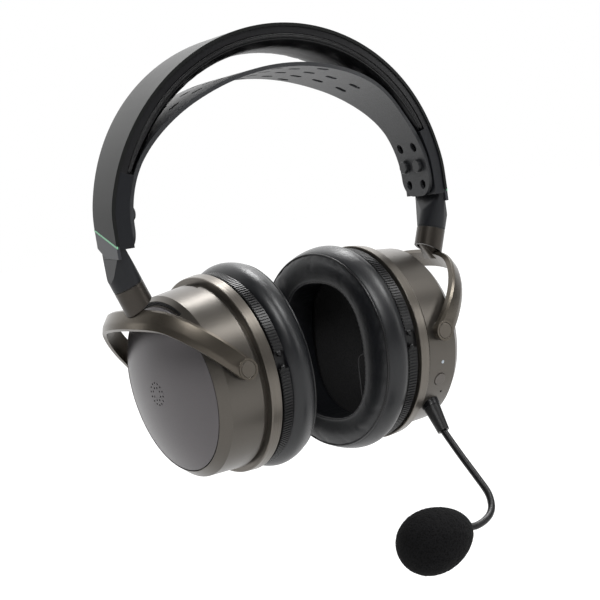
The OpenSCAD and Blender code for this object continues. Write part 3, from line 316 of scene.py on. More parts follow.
@dataclass
class Pattern:
    """Draws one pattern inside a shader group, from a place and a size.

    A texture's tint goes from about -1 to 1, which the material spreads over its colour's variation.
    """

    g: Graph
    place: Socket
    size: Socket

    def edges(self) -> tuple[Socket, Socket]:
        """Draws rounded edges and the mask along them that the material lightens, partly as rubbed paint and
        partly as a painted highlight.

        Returns:
            The normal and the mask of rubbed paint and painted highlight on the edges.
        """
        g = self.g
        bevel = g.add("ShaderNodeBevel", {"Radius": self.size}, samples=4).outputs[0]
        flat = g.add("ShaderNodeNewGeometry").outputs["Normal"]
        dot = g.add("ShaderNodeVectorMath", {0: bevel, 1: flat}, operation="DOT_PRODUCT").outputs["Value"]
        rounded = g.ramp(g.math("SUBTRACT", 1.0, dot), 0.02, 0.2, 0.0, 1.0)
        patch = g.ramp(g.noise(self.place, 300.0, 2.0).outputs["Fac"], 0.35, 0.65, 0.4, 1.0)
        return bevel, g.math("MULTIPLY", rounded, patch)

    def flake(self) -> tuple[Socket, Socket]:
        """Draws fine metal flake in a paint: a few bright flakes over soft drift.

        Returns:
            The tint and the height.
        """
        g = self.g
        scale = g.math("DIVIDE", METRE, self.size)
        cells = g.add("ShaderNodeTexVoronoi", {"Vector": self.place, "Scale": scale})
        grey = g.add("ShaderNodeSeparateColor", {0: cells.outputs["Color"]}).outputs
        spark = g.ramp(grey[0], 0.86, 1.0, 0.0, 0.55)
        drift = g.ramp(g.noise(self.place, 18.0, 3.0).outputs["Fac"], 0.3, 0.7, -0.25, 0.25)
        tint = g.math("ADD", g.math("ADD", spark, drift), g.ramp(grey[1], 0, 1, -0.3, 0.3))
        return tint, grey[2]

    def pebble(self) -> tuple[Socket, Socket]:
        """Draws the pebble grain of leatherette, with soft creases.

        Returns:
            The tint and the height.
        """
        g = self.g
        bend = g.noise(self.place, 260.0, 2.0).outputs["Color"]
        shift = g.add("ShaderNodeVectorMath", {0: bend, "Scale": 0.0006}, operation="SCALE").outputs[0]
        bent = g.add("ShaderNodeVectorMath", {0: self.place, 1: shift}, operation="ADD").outputs[0]
        keys = {"Vector": bent, "Scale": g.math("DIVIDE", METRE, self.size)}
        cells = g.add("ShaderNodeTexVoronoi", keys, feature="DISTANCE_TO_EDGE")
        domes = g.ramp(cells.outputs["Distance"], 0.0, 0.22, 0.0, 1.0)
        crease = g.noise(self.place, 55.0, 3.0, 1.5).outputs["Fac"]
        return g.ramp(domes, 0, 1, -0.5, 0.25), g.math("ADD", domes, g.math("MULTIPLY", crease, 0.8))

    def turned(self) -> tuple[Socket, Socket]:
        """Draws fine rings round the place's Z axis, as on a spun part.

        Returns:
            The tint and the height.
        """
        g = self.g
        x, y, z = g.add("ShaderNodeSeparateXYZ", {0: self.place}).outputs
        angle = g.math("ARCTAN2", y, x)
        flat = g.add("ShaderNodeCombineXYZ", {0: x, 1: y}).outputs[0]
        radius = g.add("ShaderNodeVectorMath", {0: flat}, operation="LENGTH").outputs["Value"]
        scale = g.math("DIVIDE", METRE, self.size)
        factors = ((radius, scale), (z, scale), (angle, 1.4))
        rows = [g.math("MULTIPLY", a, b) for a, b in factors]
        spread = g.add("ShaderNodeCombineXYZ", dict(enumerate(rows))).outputs[0]
        noise = g.noise(spread, 1.0, 3.0).outputs["Fac"]
        return g.ramp(noise, 0.25, 0.75, -1.0, 1.0), noise

    def moulded(self) -> tuple[Socket, Socket]:
        """Draws the spark-eroded face of moulded plastic, with slow drift.

        Returns:
            The tint and the height.
        """
        g = self.g
        grit = g.noise(self.place, g.math("DIVIDE", 0.7 * METRE, self.size), 1.0).outputs["Fac"]
        drift = g.noise(self.place, 22.0, 2.0).outputs["Fac"]
        tint = g.math("ADD", g.ramp(grit, 0.35, 0.65, -0.6, 0.6), g.ramp(drift, 0.3, 0.7, -0.4, 0.4))
        return tint, grit

    def cells(self) -> tuple[Socket, Socket]:
        """Draws open cells of foam or loops of a knit: dark pits between threads.

        Returns:
            The tint and the height.
        """
        g = self.g
        scale = g.math("DIVIDE", METRE, self.size)
        pits = g.add("ShaderNodeTexVoronoi", {"Vector": self.place, "Scale": scale}, feature="SMOOTH_F1")
        fluff = g.noise(self.place, g.math("MULTIPLY", scale, 1.7), 2.0).outputs["Fac"]
        walls = g.ramp(pits.outputs["Distance"], 0.1, 0.6, 0.0, 1.0)
        height = g.math("ADD", walls, g.math("MULTIPLY", fluff, 0.6))
        return g.ramp(height, 0.4, 1.2, -1.0, 1.4), height


class SharedEffects:
    """Shader node groups that several materials use, each built once."""

    draws: dict[Texture, Callable[[Pattern], tuple[Socket, Socket]]] = {
        Texture.FLAKE: Pattern.flake, Texture.MOULDED: Pattern.moulded, Texture.LEATHER: Pattern.pebble,
        Texture.TURNED: Pattern.turned, Texture.CELLS: Pattern.cells,
    }

    def __init__(self) -> None:
        """Starts with no group made."""
        self.made: dict[str, bpy.types.NodeTree] = {}

    def _group(self, name: str, size: str, results: dict[str, str],
               draw: Callable[[Pattern], tuple[Socket, Socket]]) -> bpy.types.NodeTree:
        """A group with a place and a size, built when it is first asked for.

        Args:
            name: The group's name.
            size: The name of the input that sets its size.
            results: Name and socket type of each output.
            draw: Places the group's nodes and returns the socket of each result.

        Returns:
            The group.
        """
        if name not in self.made:
            tree = self.made[name] = bpy.data.node_groups.new(name, "ShaderNodeTree")
            face = tree.interface
            face.new_socket("Vector", in_out="INPUT", socket_type="NodeSocketVector")
            face.new_socket(size, in_out="INPUT", socket_type="NodeSocketFloat")
            for label, kind in results.items():
                face.new_socket(label, in_out="OUTPUT", socket_type=kind)
            start, end = tree.nodes.new("NodeGroupInput").outputs, tree.nodes.new("NodeGroupOutput").inputs
            for label, socket in zip(results, draw(Pattern(Graph(tree), start["Vector"], start[size]))):
                tree.links.new(socket, end[label])
        return self.made[name]

    def edges(self) -> bpy.types.NodeTree:
        """The group that rounds edges and finds where they are lightened, partly as rubbed paint and partly
        as a painted highlight.
        """
        results = {"Normal": "NodeSocketVector", "Mask": "NodeSocketFloat"}
        return self._group("WornEdges", "Radius", results, Pattern.edges)

    def of(self, texture: Texture) -> bpy.types.NodeTree:
        """The group that draws a texture."""
        results = {"Tint": "NodeSocketFloat", "Height": "NodeSocketFloat"}
        return self._group(texture.value, "Size", results, self.draws[texture])


# What the finishes of one kind share.
PAINT = dict(texture=Texture.FLAKE, grain=0.2, depth=0.004, variation=0.10, edge=0.2)
METAL = dict(texture=Texture.TURNED, metallic=1.0)
HIDE = dict(slot="leatherette", texture=Texture.LEATHER, wear=0.0, edge=0.2)
CLOTH = dict(texture=Texture.CELLS, wear=0.0, edge=0.1)
BLACK = dict(slot="black_plastic")
RUBBER = dict(slot="neck_black")

FINISHES: dict[str, Finish] = {
    f.name: f
    for f in (
        Finish("skin_metal", (0.0110, 0.0116, 0.0112), 0.40, "metal_skin", metallic=0.3, wear=0.8,
               specular=0.14, **PAINT | dict(grain=0.22, depth=0.006, variation=0.20)),
        Finish("frame_black", (0.0060, 0.0060, 0.0068), 0.34, grain=0.3, depth=0.01, specular=0.3, **BLACK),
        Finish("spring_steel", (0.42, 0.43, 0.45), 0.32, grain=0.3, depth=0.004, **METAL),
        Finish("band_leather", (0.0030, 0.0030, 0.0035), 0.36, grain=0.75, depth=0.05, variation=0.25,
               specular=0.25, **HIDE),
        Finish("pad_leather", (0.0042, 0.0047, 0.0060), 0.38, grain=0.7, depth=0.03, variation=0.14,
               coat=0.06, specular=0.42, **HIDE),
        Finish("piping", (0.0050, 0.0050, 0.0055), 0.30, grain=0.4, variation=0.2, specular=0.35,
               **HIDE | dict(edge=0.1)),
        Finish("thread", (0.018, 0.018, 0.020), 0.6, "leatherette", grain=0.25, variation=0.25, **CLOTH),
        Finish("accent_green", (0.17, 0.42, 0.25), 0.42, grain=0.3, depth=0.004),
        Finish("cap_plastic", (0.0060, 0.0066, 0.0084), 0.40, grain=0.22, depth=0.008, variation=0.10,
               wear=0.3, specular=0.25),
        Finish("cover_plastic", (0.0280, 0.0290, 0.0340), 0.36, metallic=0.3, wear=0.2, specular=0.4,
               **PAINT | dict(grain=0.22, depth=0.005)),
        Finish("strap_plastic", (0.0170, 0.0180, 0.0200), 0.46, texture=Texture.FLAKE, grain=0.55,
               depth=0.03, variation=0.45, wear=0.4, specular=0.4),
        Finish("stud_plastic", (0.0110, 0.0118, 0.0130), 0.38, "strap_plastic", grain=0.25, depth=0.01,
               specular=0.4),
        Finish("collar_bronze", (0.0400, 0.0345, 0.0290), 0.36, metallic=0.7, wear=0.35, **PAINT),
        Finish("yoke_bronze", (0.0860, 0.0750, 0.0610), 0.31, metallic=0.8, wear=0.7, **PAINT),
        Finish("cup_bronze", (0.0860, 0.0780, 0.0680), 0.34, metallic=0.75, wear=0.5, **PAINT),
        Finish("dome_grey", (0.0860, 0.0800, 0.0830), 0.36, metallic=0.7, wear=0.2,
               **PAINT | dict(grain=0.22)),
        Finish("flange_metal", (0.1250, 0.1130, 0.0980), 0.34, grain=0.35, depth=0.01, variation=0.18,
               wear=0.6, edge=0.2, **METAL | dict(metallic=0.85)),
        Finish("pin_bronze", (0.1000, 0.0890, 0.0750), 0.32, "yoke_bronze", grain=0.25, depth=0.004,
               **METAL | dict(metallic=0.8)),
        Finish("pin_steel", (0.46, 0.46, 0.48), 0.28, grain=0.25, depth=0.003, **METAL),
        Finish("washer_black", (0.012, 0.012, 0.012), 0.5),
        Finish("driver_plastic", (0.020, 0.020, 0.022), 0.5),
        Finish("magnet_metal", (0.30, 0.30, 0.32), 0.35, **METAL),
        Finish("driver_film", (0.42, 0.34, 0.20), 0.30, "film", **METAL | dict(metallic=0.4)),
        Finish("screw_steel", (0.03, 0.03, 0.03), 0.35, **METAL | dict(metallic=0.8)),
        Finish("battery_wrap", (0.03, 0.05, 0.12), 0.35),
        Finish("board_green", (0.01, 0.07, 0.03), 0.35),
        Finish("light_lens", (0.30, 0.34, 0.38), 0.2),
        Finish("button_grey", (0.0850, 0.0760, 0.0680), 0.34, metallic=0.5, wear=0.3,
               **PAINT | dict(edge=0.25)),
        Finish("port_metal", (0.34, 0.34, 0.36), 0.3, **METAL),
        Finish("ring_black", (0.0034, 0.0034, 0.0038), 0.36, grain=0.3, depth=0.01, variation=0.1, wear=0.2,
               edge=0.1, specular=0.28, **BLACK),
        Finish("gap_black", (0.006, 0.006, 0.007), 0.5, **BLACK),
        Finish("cloth_black", (0.0035, 0.0035, 0.004), 0.9, grain=0.9, depth=0.06, variation=0.4, **CLOTH),
        Finish("label_line", (0.06, 0.06, 0.062), 0.8, "cloth_black", grain=0.4, depth=0.03, variation=0.2,
               **CLOTH),
        Finish("plug_metal", (0.52, 0.42, 0.22), 0.25, **METAL),
        Finish("boot_rubber", (0.0070, 0.0068, 0.0070), 0.42, grain=0.3, depth=0.01, specular=0.32, **RUBBER),
        Finish("neck_rubber", (0.0040, 0.0040, 0.0045), 0.38, grain=0.25, depth=0.006, specular=0.25,
               **RUBBER),
        Finish("foam_black", (0.0022, 0.0022, 0.0024), 0.95, grain=0.7, depth=0.14, variation=0.75,
               specular=0.12, **CLOTH),
    )
}


class Paintbox:
    """Makes each finish's material when a piece first asks for it."""

    # The lighter colour of edges: partly rubbed paint, partly a painted highlight.
    worn_gain: float = 1.7
    worn_lift: float = 0.01
    rough_swing: float = 0.05
    bump_strength: float = 0.6
    coat_roughness: float = 0.25

    def __init__(self) -> None:
        """Starts with an empty box."""
        self.effects = SharedEffects()
        self.made: dict[str, bpy.types.Material] = {}

    def get(self, name: str, side: Side | None = None) -> Coat:
        """The material of a finish and the record's slot that it comes from.

        Args:
            name: The finish's name.
            side: The cup whose axis a turned finish is centred on, or None.

        Returns:
            The material and the slot.
        """
        key = f"{name}_{side.word}" if side else name
        finish = FINISHES[name]
        if key not in self.made:
            self.made[key] = self._make(key, finish, side)
        return self.made[key], finish.slot or finish.name

    def _make(self, key: str, finish: Finish, side: Side | None) -> bpy.types.Material:
        """Builds one material with its texture, its rounded edges and their lightening, partly rubbed paint
        and partly a painted highlight.

        Args:
            key: The material's name.
            finish: The finish.
            side: The cup whose axis the pattern is centred on, or None.

        Returns:
            The material.
        """
        material = bpy.data.materials.new(key)
        g = Graph.cleared(material)
        place = g.add("ShaderNodeTexCoord").outputs["Object"]
        if side:
            shift, turn = CupFrame(side).pattern()
            keys = {"Vector": place, "Location": shift, "Rotation": turn}
            place = g.add("ShaderNodeMapping", keys).outputs[0]
        look = g.add("ShaderNodeGroup", node_tree=self.effects.of(finish.texture))
        edges = g.add("ShaderNodeGroup", node_tree=self.effects.edges())
        for group, size, value in ((look, "Size", finish.grain), (edges, "Radius", finish.edge * MM)):
            group.inputs[size].default_value = value
            g.tree.links.new(place, group.inputs["Vector"])
        shade = lambda share, lift=0.0: (*(min(1.0, c * share + lift) for c in finish.colour), 1.0)
        colour = g.add(
            "ShaderNodeMix",
            {0: g.ramp(look.outputs["Tint"], -1.0, 1.0, 0.0, 1.0),
             6: shade(1 - finish.variation), 7: shade(1 + finish.variation)},
            data_type="RGBA",
        ).outputs[2]
        # Edges turn lighter: partly rubbed paint, partly a painted highlight.
        if finish.wear > 0:
            amount = g.math("MULTIPLY", edges.outputs["Mask"], finish.wear)
            wear_and_highlight_colour = shade(self.worn_gain, self.worn_lift)
            colour = g.add("ShaderNodeMix", {0: amount, 6: colour, 7: wear_and_highlight_colour}, data_type="RGBA").outputs[2]
        rough, swing = finish.roughness, self.rough_swing
        bump = {
            "Height": look.outputs["Height"], "Normal": edges.outputs["Normal"],
            "Strength": self.bump_strength, "Distance": finish.depth * MM,
        }
        shader = g.add(
            "ShaderNodeBsdfPrincipled",
            {
                "Base Color": colour,
                "Roughness": g.ramp(look.outputs["Tint"], -1.0, 1.0, rough + swing, rough - swing),
                "Metallic": finish.metallic,
                "Normal": g.add("ShaderNodeBump", bump).outputs[0],
                "Coat Weight": finish.coat,
                "Coat Roughness": self.coat_roughness,
                "Specular IOR Level": finish.specular,
            },
        )
        g.add("ShaderNodeOutputMaterial", {"Surface": shader.outputs[0]})
        return material


# ---------------------------------------------------------------- mesh work


def moved(points: np.ndarray, matrix: Matrix) -> np.ndarray:
    """Returns points taken through a matrix."""
    m = np.array(matrix)
    return points @ m[:3, :3].T + m[:3, 3]


def volume(shape: Shape) -> float:
    """Signed volume of a closed mesh.

    Args:
        shape: Its points and its faces.

    Returns:
        The volume, negative where its faces point inwards.
    """
    points, faces = shape
    total = 0.0
    for f in faces:
        for i in range(1, len(f) - 1):
            total += float(np.dot(points[f[0]], np.cross(points[f[i]], points[f[i + 1]])))
    return total / 6


def outward(shape: Shape) -> Shape:
    """Returns a closed mesh with its faces pointing outwards."""
    points, faces = shape
    return points, [tuple(reversed(f)) for f in faces] if volume(shape) < 0 else faces


def piece(name: str, shape: Shape, coat: Coat, body: str, matrix: Matrix = ROW,
          ride: bool = True) -> bpy.types.Object:
    """Makes a closed mesh an object of the headset.

    Args:
        name: The piece's name.
        shape: Its points, in millimetres, and its faces.
        coat: Its material and the record's slot, which is not used.
        body: The CAD body it rides on.
        matrix: From the frame of its points to the row frame.
        ride: False where the caller does the riding, after more work on the mesh.

    Returns:
        The object, with its place in its mesh.
    """
    material, slot = coat
    points, faces = outward((moved(shape[0], matrix), shape[1]))
    mesh = bpy.data.meshes.new(name)
    mesh.from_pydata(points.tolist(), [], [list(f) for f in faces])
    mesh.shade_smooth()
    mesh.materials.append(material)
    mesh.validate()
    obj = bpy.data.objects.new(name, mesh)
    bpy.context.scene.collection.objects.link(obj)
    if ride:
        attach(obj, body)
    return obj


def loft(rings: np.ndarray, closed: bool) -> Shape:
    """A skin over rings of points.

    Args:
        rings: Points by ring and place in the ring.
        closed: True where the last ring joins the first, False where both ends get a cap.

    Returns:
        The points and the faces.
    """
    n, m = rings.shape[:2]
    faces: Faces = []
    for i in range(n if closed else n - 1):
        k = (i + 1) % n
        faces += [(i * m + j, i * m + (j + 1) % m, k * m + (j + 1) % m, k * m + j) for j in range(m)]
    points = rings.reshape(-1, 3)
    if not closed:
        for end, order in ((0, -1), (n - 1, 1)):
            hub = len(points)
            points = np.vstack([points, rings[end].mean(0)])
            ring = [(end * m + j, end * m + (j + 1) % m, hub) for j in range(m)]
            faces += [f[::order] for f in ring]
    return points, faces


def tube(path: np.ndarray, radius: float, closed: bool, sides: int = 8) -> Shape:
    """A round tube along a path.

    Args:
        path: Its centre line.
        radius: Its radius.
        closed: True for a loop.
        sides: Points round it.

    Returns:
        The points and the faces.
    """
    ahead = np.roll(path, -1, 0) - np.roll(path, 1, 0)
    if not closed:
        ahead[0], ahead[-1] = path[1] - path[0], path[-1] - path[-2]
    ahead /= np.linalg.norm(ahead, axis=1)[:, None]
    side = np.cross(ahead, OFF_AXIS)
    side /= np.linalg.norm(side, axis=1)[:, None]
    up = np.cross(ahead, side)
    a = np.linspace(0, 2 * np.pi, sides, endpoint=False)[None, :, None]
    return loft(path[:, None] + radius * (np.cos(a) * side[:, None] + np.sin(a) * up[:, None]), closed)


def join_meshes(parts: list[Shape]) -> Shape:
    """Puts several closed meshes into one.

    Args:
        parts: Points and faces of each mesh.

    Returns:
        The points and the faces, which all point outwards.
    """
    points, faces, start = [], [], 0
    for p, f in map(outward, parts):
        points.append(p)
        faces += [tuple(i + start for i in x) for x in f]
        start += len(p)
    return np.vstack(points), faces


def spline(points: np.ndarray, steps: int) -> np.ndarray:
    """A smooth line through points.

    Args:
        points: The points.
        steps: Steps between each two of them.

    Returns:
        The line's points.
    """
    out = []
    last = len(points) - 1
    for i in range(last):
        a, b, c, d = points[max(0, i - 1)], points[i], points[i + 1], points[min(last, i + 2)]
        for k in range(steps):
            t = k / steps
            bend = (2 * a - 5 * b + 4 * c - d) * t * t
            out.append(0.5 * (2 * b + (c - a) * t + bend + (3 * b - 3 * c + d - a) * t**3))
    return np.array(out + [points[-1]])


def panels(lines: Sequence[tuple[np.ndarray, int]]) -> tuple[np.ndarray, list[bool]]:
    """A section of smooth panels that meet in seams.

    Args:
        lines: Points of each panel, from seam to seam, and the steps between each two of them.

    Returns:
        The section's points but for its last one, and True for each one on a seam.
    """
    line, held = [], []
    for marks, steps in lines:
        run = spline(np.array(marks), steps)
        line += list(run[:-1])
        held += [True] + [False] * (len(run) - 2)
    return np.array(line), held


def smoothed_copy(node: str, coat: Coat, sharp: float) -> bpy.types.Object:
    """Shows a rigid CAD node as a copy whose round faces are shaded round.

    Args:
        node: The CAD node.
        coat: The copy's material and the record's slot, which is not used.
        sharp: Edges sharper than this stay sharp, in degrees.

    Returns:
        The copy, which replaces the node.
    """
    material, slot = coat
    source = bpy.data.objects[node]
    mesh = bpy.data.meshes.new(f"{node}_shell")
    points = [v.co.copy() for v in source.data.vertices]
    mesh.from_pydata(points, [], [list(p.vertices) for p in source.data.polygons])
    work = bmesh.new()
    work.from_mesh(mesh)
    bmesh.ops.remove_doubles(work, verts=work.verts, dist=MERGE)
    bmesh.ops.dissolve_degenerate(work, edges=work.edges, dist=SLIVER)
    for f in work.faces:
        f.smooth = True
    for e in work.edges:
        e.smooth = len(e.link_faces) == 2 and e.calc_face_angle(math.pi) < math.radians(sharp)
    work.to_mesh(mesh)
    work.free()
    mesh.materials.append(material)
    obj = bpy.data.objects.new(f"{node}_shell", mesh)
    bpy.context.scene.collection.objects.link(obj)
    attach(obj, body_of(source)[0])
    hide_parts(node)
    return obj


def puff(obj: bpy.types.Object, held: np.ndarray, cap: float, pressure: float = 40.0) -> float:
    """Fills a padded form by cloth simulation, with its seams held.

    Args:
        obj: The piece, with no parent.
        held: True for each point that a seam or the base holds.
        cap: The furthest that a point may move, in metres.
        pressure: The filling's pressure.

    Returns:
        The furthest that a point moved, in millimetres.
    """
    scene = bpy.context.scene
    group = obj.vertex_groups.new(name="held")
    group.add([int(i) for i in np.nonzero(held)[0]], 1.0, "REPLACE")
    cloth = obj.modifiers.new("Filling", "CLOTH")
    cloth.collision_settings.use_collision = False
    s = cloth.settings
    s.vertex_group_mass = "held"
    s.use_pressure, s.uniform_pressure_force = True, pressure
    s.effector_weights.gravity = 0.0
    s.mass, s.quality = 0.02, 5
    for frame in range(1, CLOTH_FRAMES + 1):
        scene.frame_set(frame)
    count = len(obj.data.vertices)
    before, after = np.zeros(count * 3), np.zeros(count * 3)
    obj.data.vertices.foreach_get("co", before)
    result = obj.evaluated_get(bpy.context.evaluated_depsgraph_get())
    result.data.vertices.foreach_get("co", after)
    move = (after - before).reshape(-1, 3)
    far = np.linalg.norm(move, axis=1)
    move *= (cap * np.tanh(far / cap) / np.maximum(far, 1e-12))[:, None]
    obj.modifiers.remove(cloth)
    obj.vertex_groups.remove(group)
    scene.frame_set(1)
    obj.data.vertices.foreach_set("co", (before.reshape(-1, 3) + move).reshape(-1))
    obj.data.update()
    return float(np.linalg.norm(move, axis=1).max() / MM)


class PointTree:
    """A Geometry Nodes tree that builds solids on a mesh of points, each time as one plain mesh."""

    def __init__(self, name: str, sizes: dict[str, str]) -> None:
        """Starts the tree.

        Args:
            name: The tree's name.
            sizes: Name and socket type of each input beside the points and the finish.
        """
        self.tree = bpy.data.node_groups.new(name, "GeometryNodeTree")
        face = self.tree.interface
        inputs = {"Geometry": "NodeSocketGeometry", **sizes, "Finish": "NodeSocketMaterial"}
        for label, kind in inputs.items():
            face.new_socket(label, in_out="INPUT", socket_type=kind)
        face.new_socket("Geometry", in_out="OUTPUT", socket_type="NodeSocketGeometry")
        self.graph = Graph(self.tree)
        self.start = self.tree.nodes.new("NodeGroupInput").outputs

    def finish(self, result: Socket) -> None:
        """Joins the solids to the tree's end as a plain mesh with its finish."""
        real = self.graph.add("GeometryNodeRealizeInstances", {0: result})
        keys = {"Geometry": real.outputs[0], "Material": self.start["Finish"]}
        painted = self.graph.add("GeometryNodeSetMaterial", keys)
        self.tree.links.new(painted.outputs[0], self.tree.nodes.new("NodeGroupOutput").inputs[0])

    def apply(self, mesh: bpy.types.Mesh, sizes: dict[str, object], coat: Coat, body: str,
              smooth: bool) -> bpy.types.Object:
        """Runs the tree on a mesh.

        Args:
            mesh: The points, with the name that the piece gets.
            sizes: Value of each input that sets a size.
            coat: The material and the record's slot, which is not used.
            body: The CAD body it rides on.
            smooth: True where the faces are shaded round.

        Returns:
            The piece.
        """
        material, slot = coat
        obj = bpy.data.objects.new(mesh.name, mesh)
        bpy.context.scene.collection.objects.link(obj)
        modifier = obj.modifiers.new("Tree", "NODES")
        modifier.node_group = self.tree
        keys = {s.name: s.identifier for s in self.tree.interface.items_tree if s.in_out == "INPUT"}
        for label, value in {**sizes, "Finish": material}.items():
            modifier[keys[label]] = value
        result = bpy.data.meshes.new_from_object(obj.evaluated_get(bpy.context.evaluated_depsgraph_get()))
        obj.modifiers.clear()
        obj.data = result
        if smooth:
            result.shade_smooth()
        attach(obj, body)
        return obj


class Element(Enum):
    """The small solid that a repeating tree sets at each place."""

    RIB = "GeometryNodeMeshCube"
    STITCH = "GeometryNodeMeshIcoSphere"


class Repeater(PointTree):
    """Sets one small solid at each point, turned by two attributes."""

    def __init__(self, element: Element) -> None:
        """Builds the tree.

        Args:
            element: The kind of solid that it sets.
        """
        super().__init__(f"Row_of_{element.name.lower()}", {"Element size": "NodeSocketVector"})
        self.element = element
        g, start = self.graph, self.start
        solid = g.add(element.value)
        if element is Element.STITCH:
            solid.inputs["Radius"].default_value = 0.5
            solid.inputs["Subdivisions"].default_value = 2
        keys = {"Geometry": solid.outputs[0], "Scale": start["Element size"]}
        sized = g.add("GeometryNodeTransform", keys).outputs[0]
        along, out = (
            g.add("GeometryNodeInputNamedAttribute", {"Name": name}, data_type="FLOAT_VECTOR").outputs[0]
            for name in ("along", "outward")
        )
        turn = g.add("FunctionNodeAlignRotationToVector", {"Vector": out}, axis="Z").outputs[0]
        keys = {"Rotation": turn, "Vector": along}
        turn = g.add("FunctionNodeAlignRotationToVector", keys, axis="X", pivot_axis="Z").outputs[0]
        keys = {"Points": start["Geometry"], "Instance": sized, "Rotation": turn}
        self.finish(g.add("GeometryNodeInstanceOnPoints", keys).outputs[0])

    def run(self, name: str, places: np.ndarray, along: np.ndarray, out: np.ndarray, size: Triple,
            coat: Coat, body: str) -> bpy.types.Object:
        """Sets the elements.

        Args:
            name: The piece's name.
            places: Centre of each element, in metres.
            along: Direction of each element's length.
            out: Direction each element faces.
            size: Its length, width and height, in millimetres.
            coat: The material and the record's slot, which is not used.
            body: The CAD body it rides on.

        Returns:
            The piece.
        """
        mesh = bpy.data.meshes.new(name)
        mesh.from_pydata(places.tolist(), [], [])
        for label, values in (("along", along), ("outward", out)):
            layer = mesh.attributes.new(label, "FLOAT_VECTOR", "POINT")
            layer.data.foreach_set("vector", np.asarray(values, np.float32).reshape(-1))
        sizes = {"Element size": tuple(v * MM for v in size)}
        return self.apply(mesh, sizes, coat, body, self.element is Element.STITCH)


class PathTube(PointTree):
    """Runs a round sleeve along a line of points."""

    def __init__(self) -> None:
        """Builds the tree."""
        super().__init__("Sleeve_along_path", {"Radius": "NodeSocketFloat", "Sides": "NodeSocketInt"})
        g, start = self.graph, self.start
        line = g.add("GeometryNodeMeshToCurve", {0: start["Geometry"]}).outputs[0]
        keys = {"Resolution": start["Sides"], "Radius": start["Radius"]}
        ring = g.add("GeometryNodeCurvePrimitiveCircle", keys).outputs[0]
        keys = {"Curve": line, "Profile Curve": ring, "Fill Caps": True}
        self.finish(g.add("GeometryNodeCurveToMesh", keys).outputs[0])

    def run(self, name: str, path: np.ndarray, radius: float, sides: int, coat: Coat,
            body: str) -> bpy.types.Object:
        """Runs the sleeve.

        Args:
            name: The piece's name.
            path: The line's points, in metres.
            radius: The sleeve's radius, in metres.
            sides: Points round it.
            coat: The material and the record's slot, which is not used.
            body: The CAD body it rides on.

        Returns:
            The piece.
        """
        mesh = bpy.data.meshes.new(name)
        mesh.from_pydata(path.tolist(), [(i, i + 1) for i in range(len(path) - 1)], [])
        return self.apply(mesh, {"Radius": radius, "Sides": sides}, coat, body, True)


# ---------------------------------------------------------------- sub-assemblies


@dataclass
class Workshop:
    """What every sub-assembly is built with."""

    paint: Paintbox
    stitches: Repeater
    ribs: Repeater
    sleeve: PathTube

    def shell(self, node: str, finish: str, side: Side | None = None, sharp: float = 30.0) -> None:
        """Dresses a CAD node with a smoothed copy.

        Args:
            node: The CAD node.
            finish: The finish's name.
            side: The cup whose axis a turned finish is centred on, or None.
            sharp: Edges sharper than this stay sharp, in degrees.
        """
        smoothed_copy(node, self.paint.get(finish, side), sharp)

    def plain(self, finishes: dict[str, str]) -> None:
        """Gives CAD nodes that stay as they are a finish each, by node and finish."""
        for node, finish in finishes.items():
            mesh = bpy.data.objects[node].data
            mesh.materials.clear()
            mesh.materials.append(self.paint.get(finish)[0])


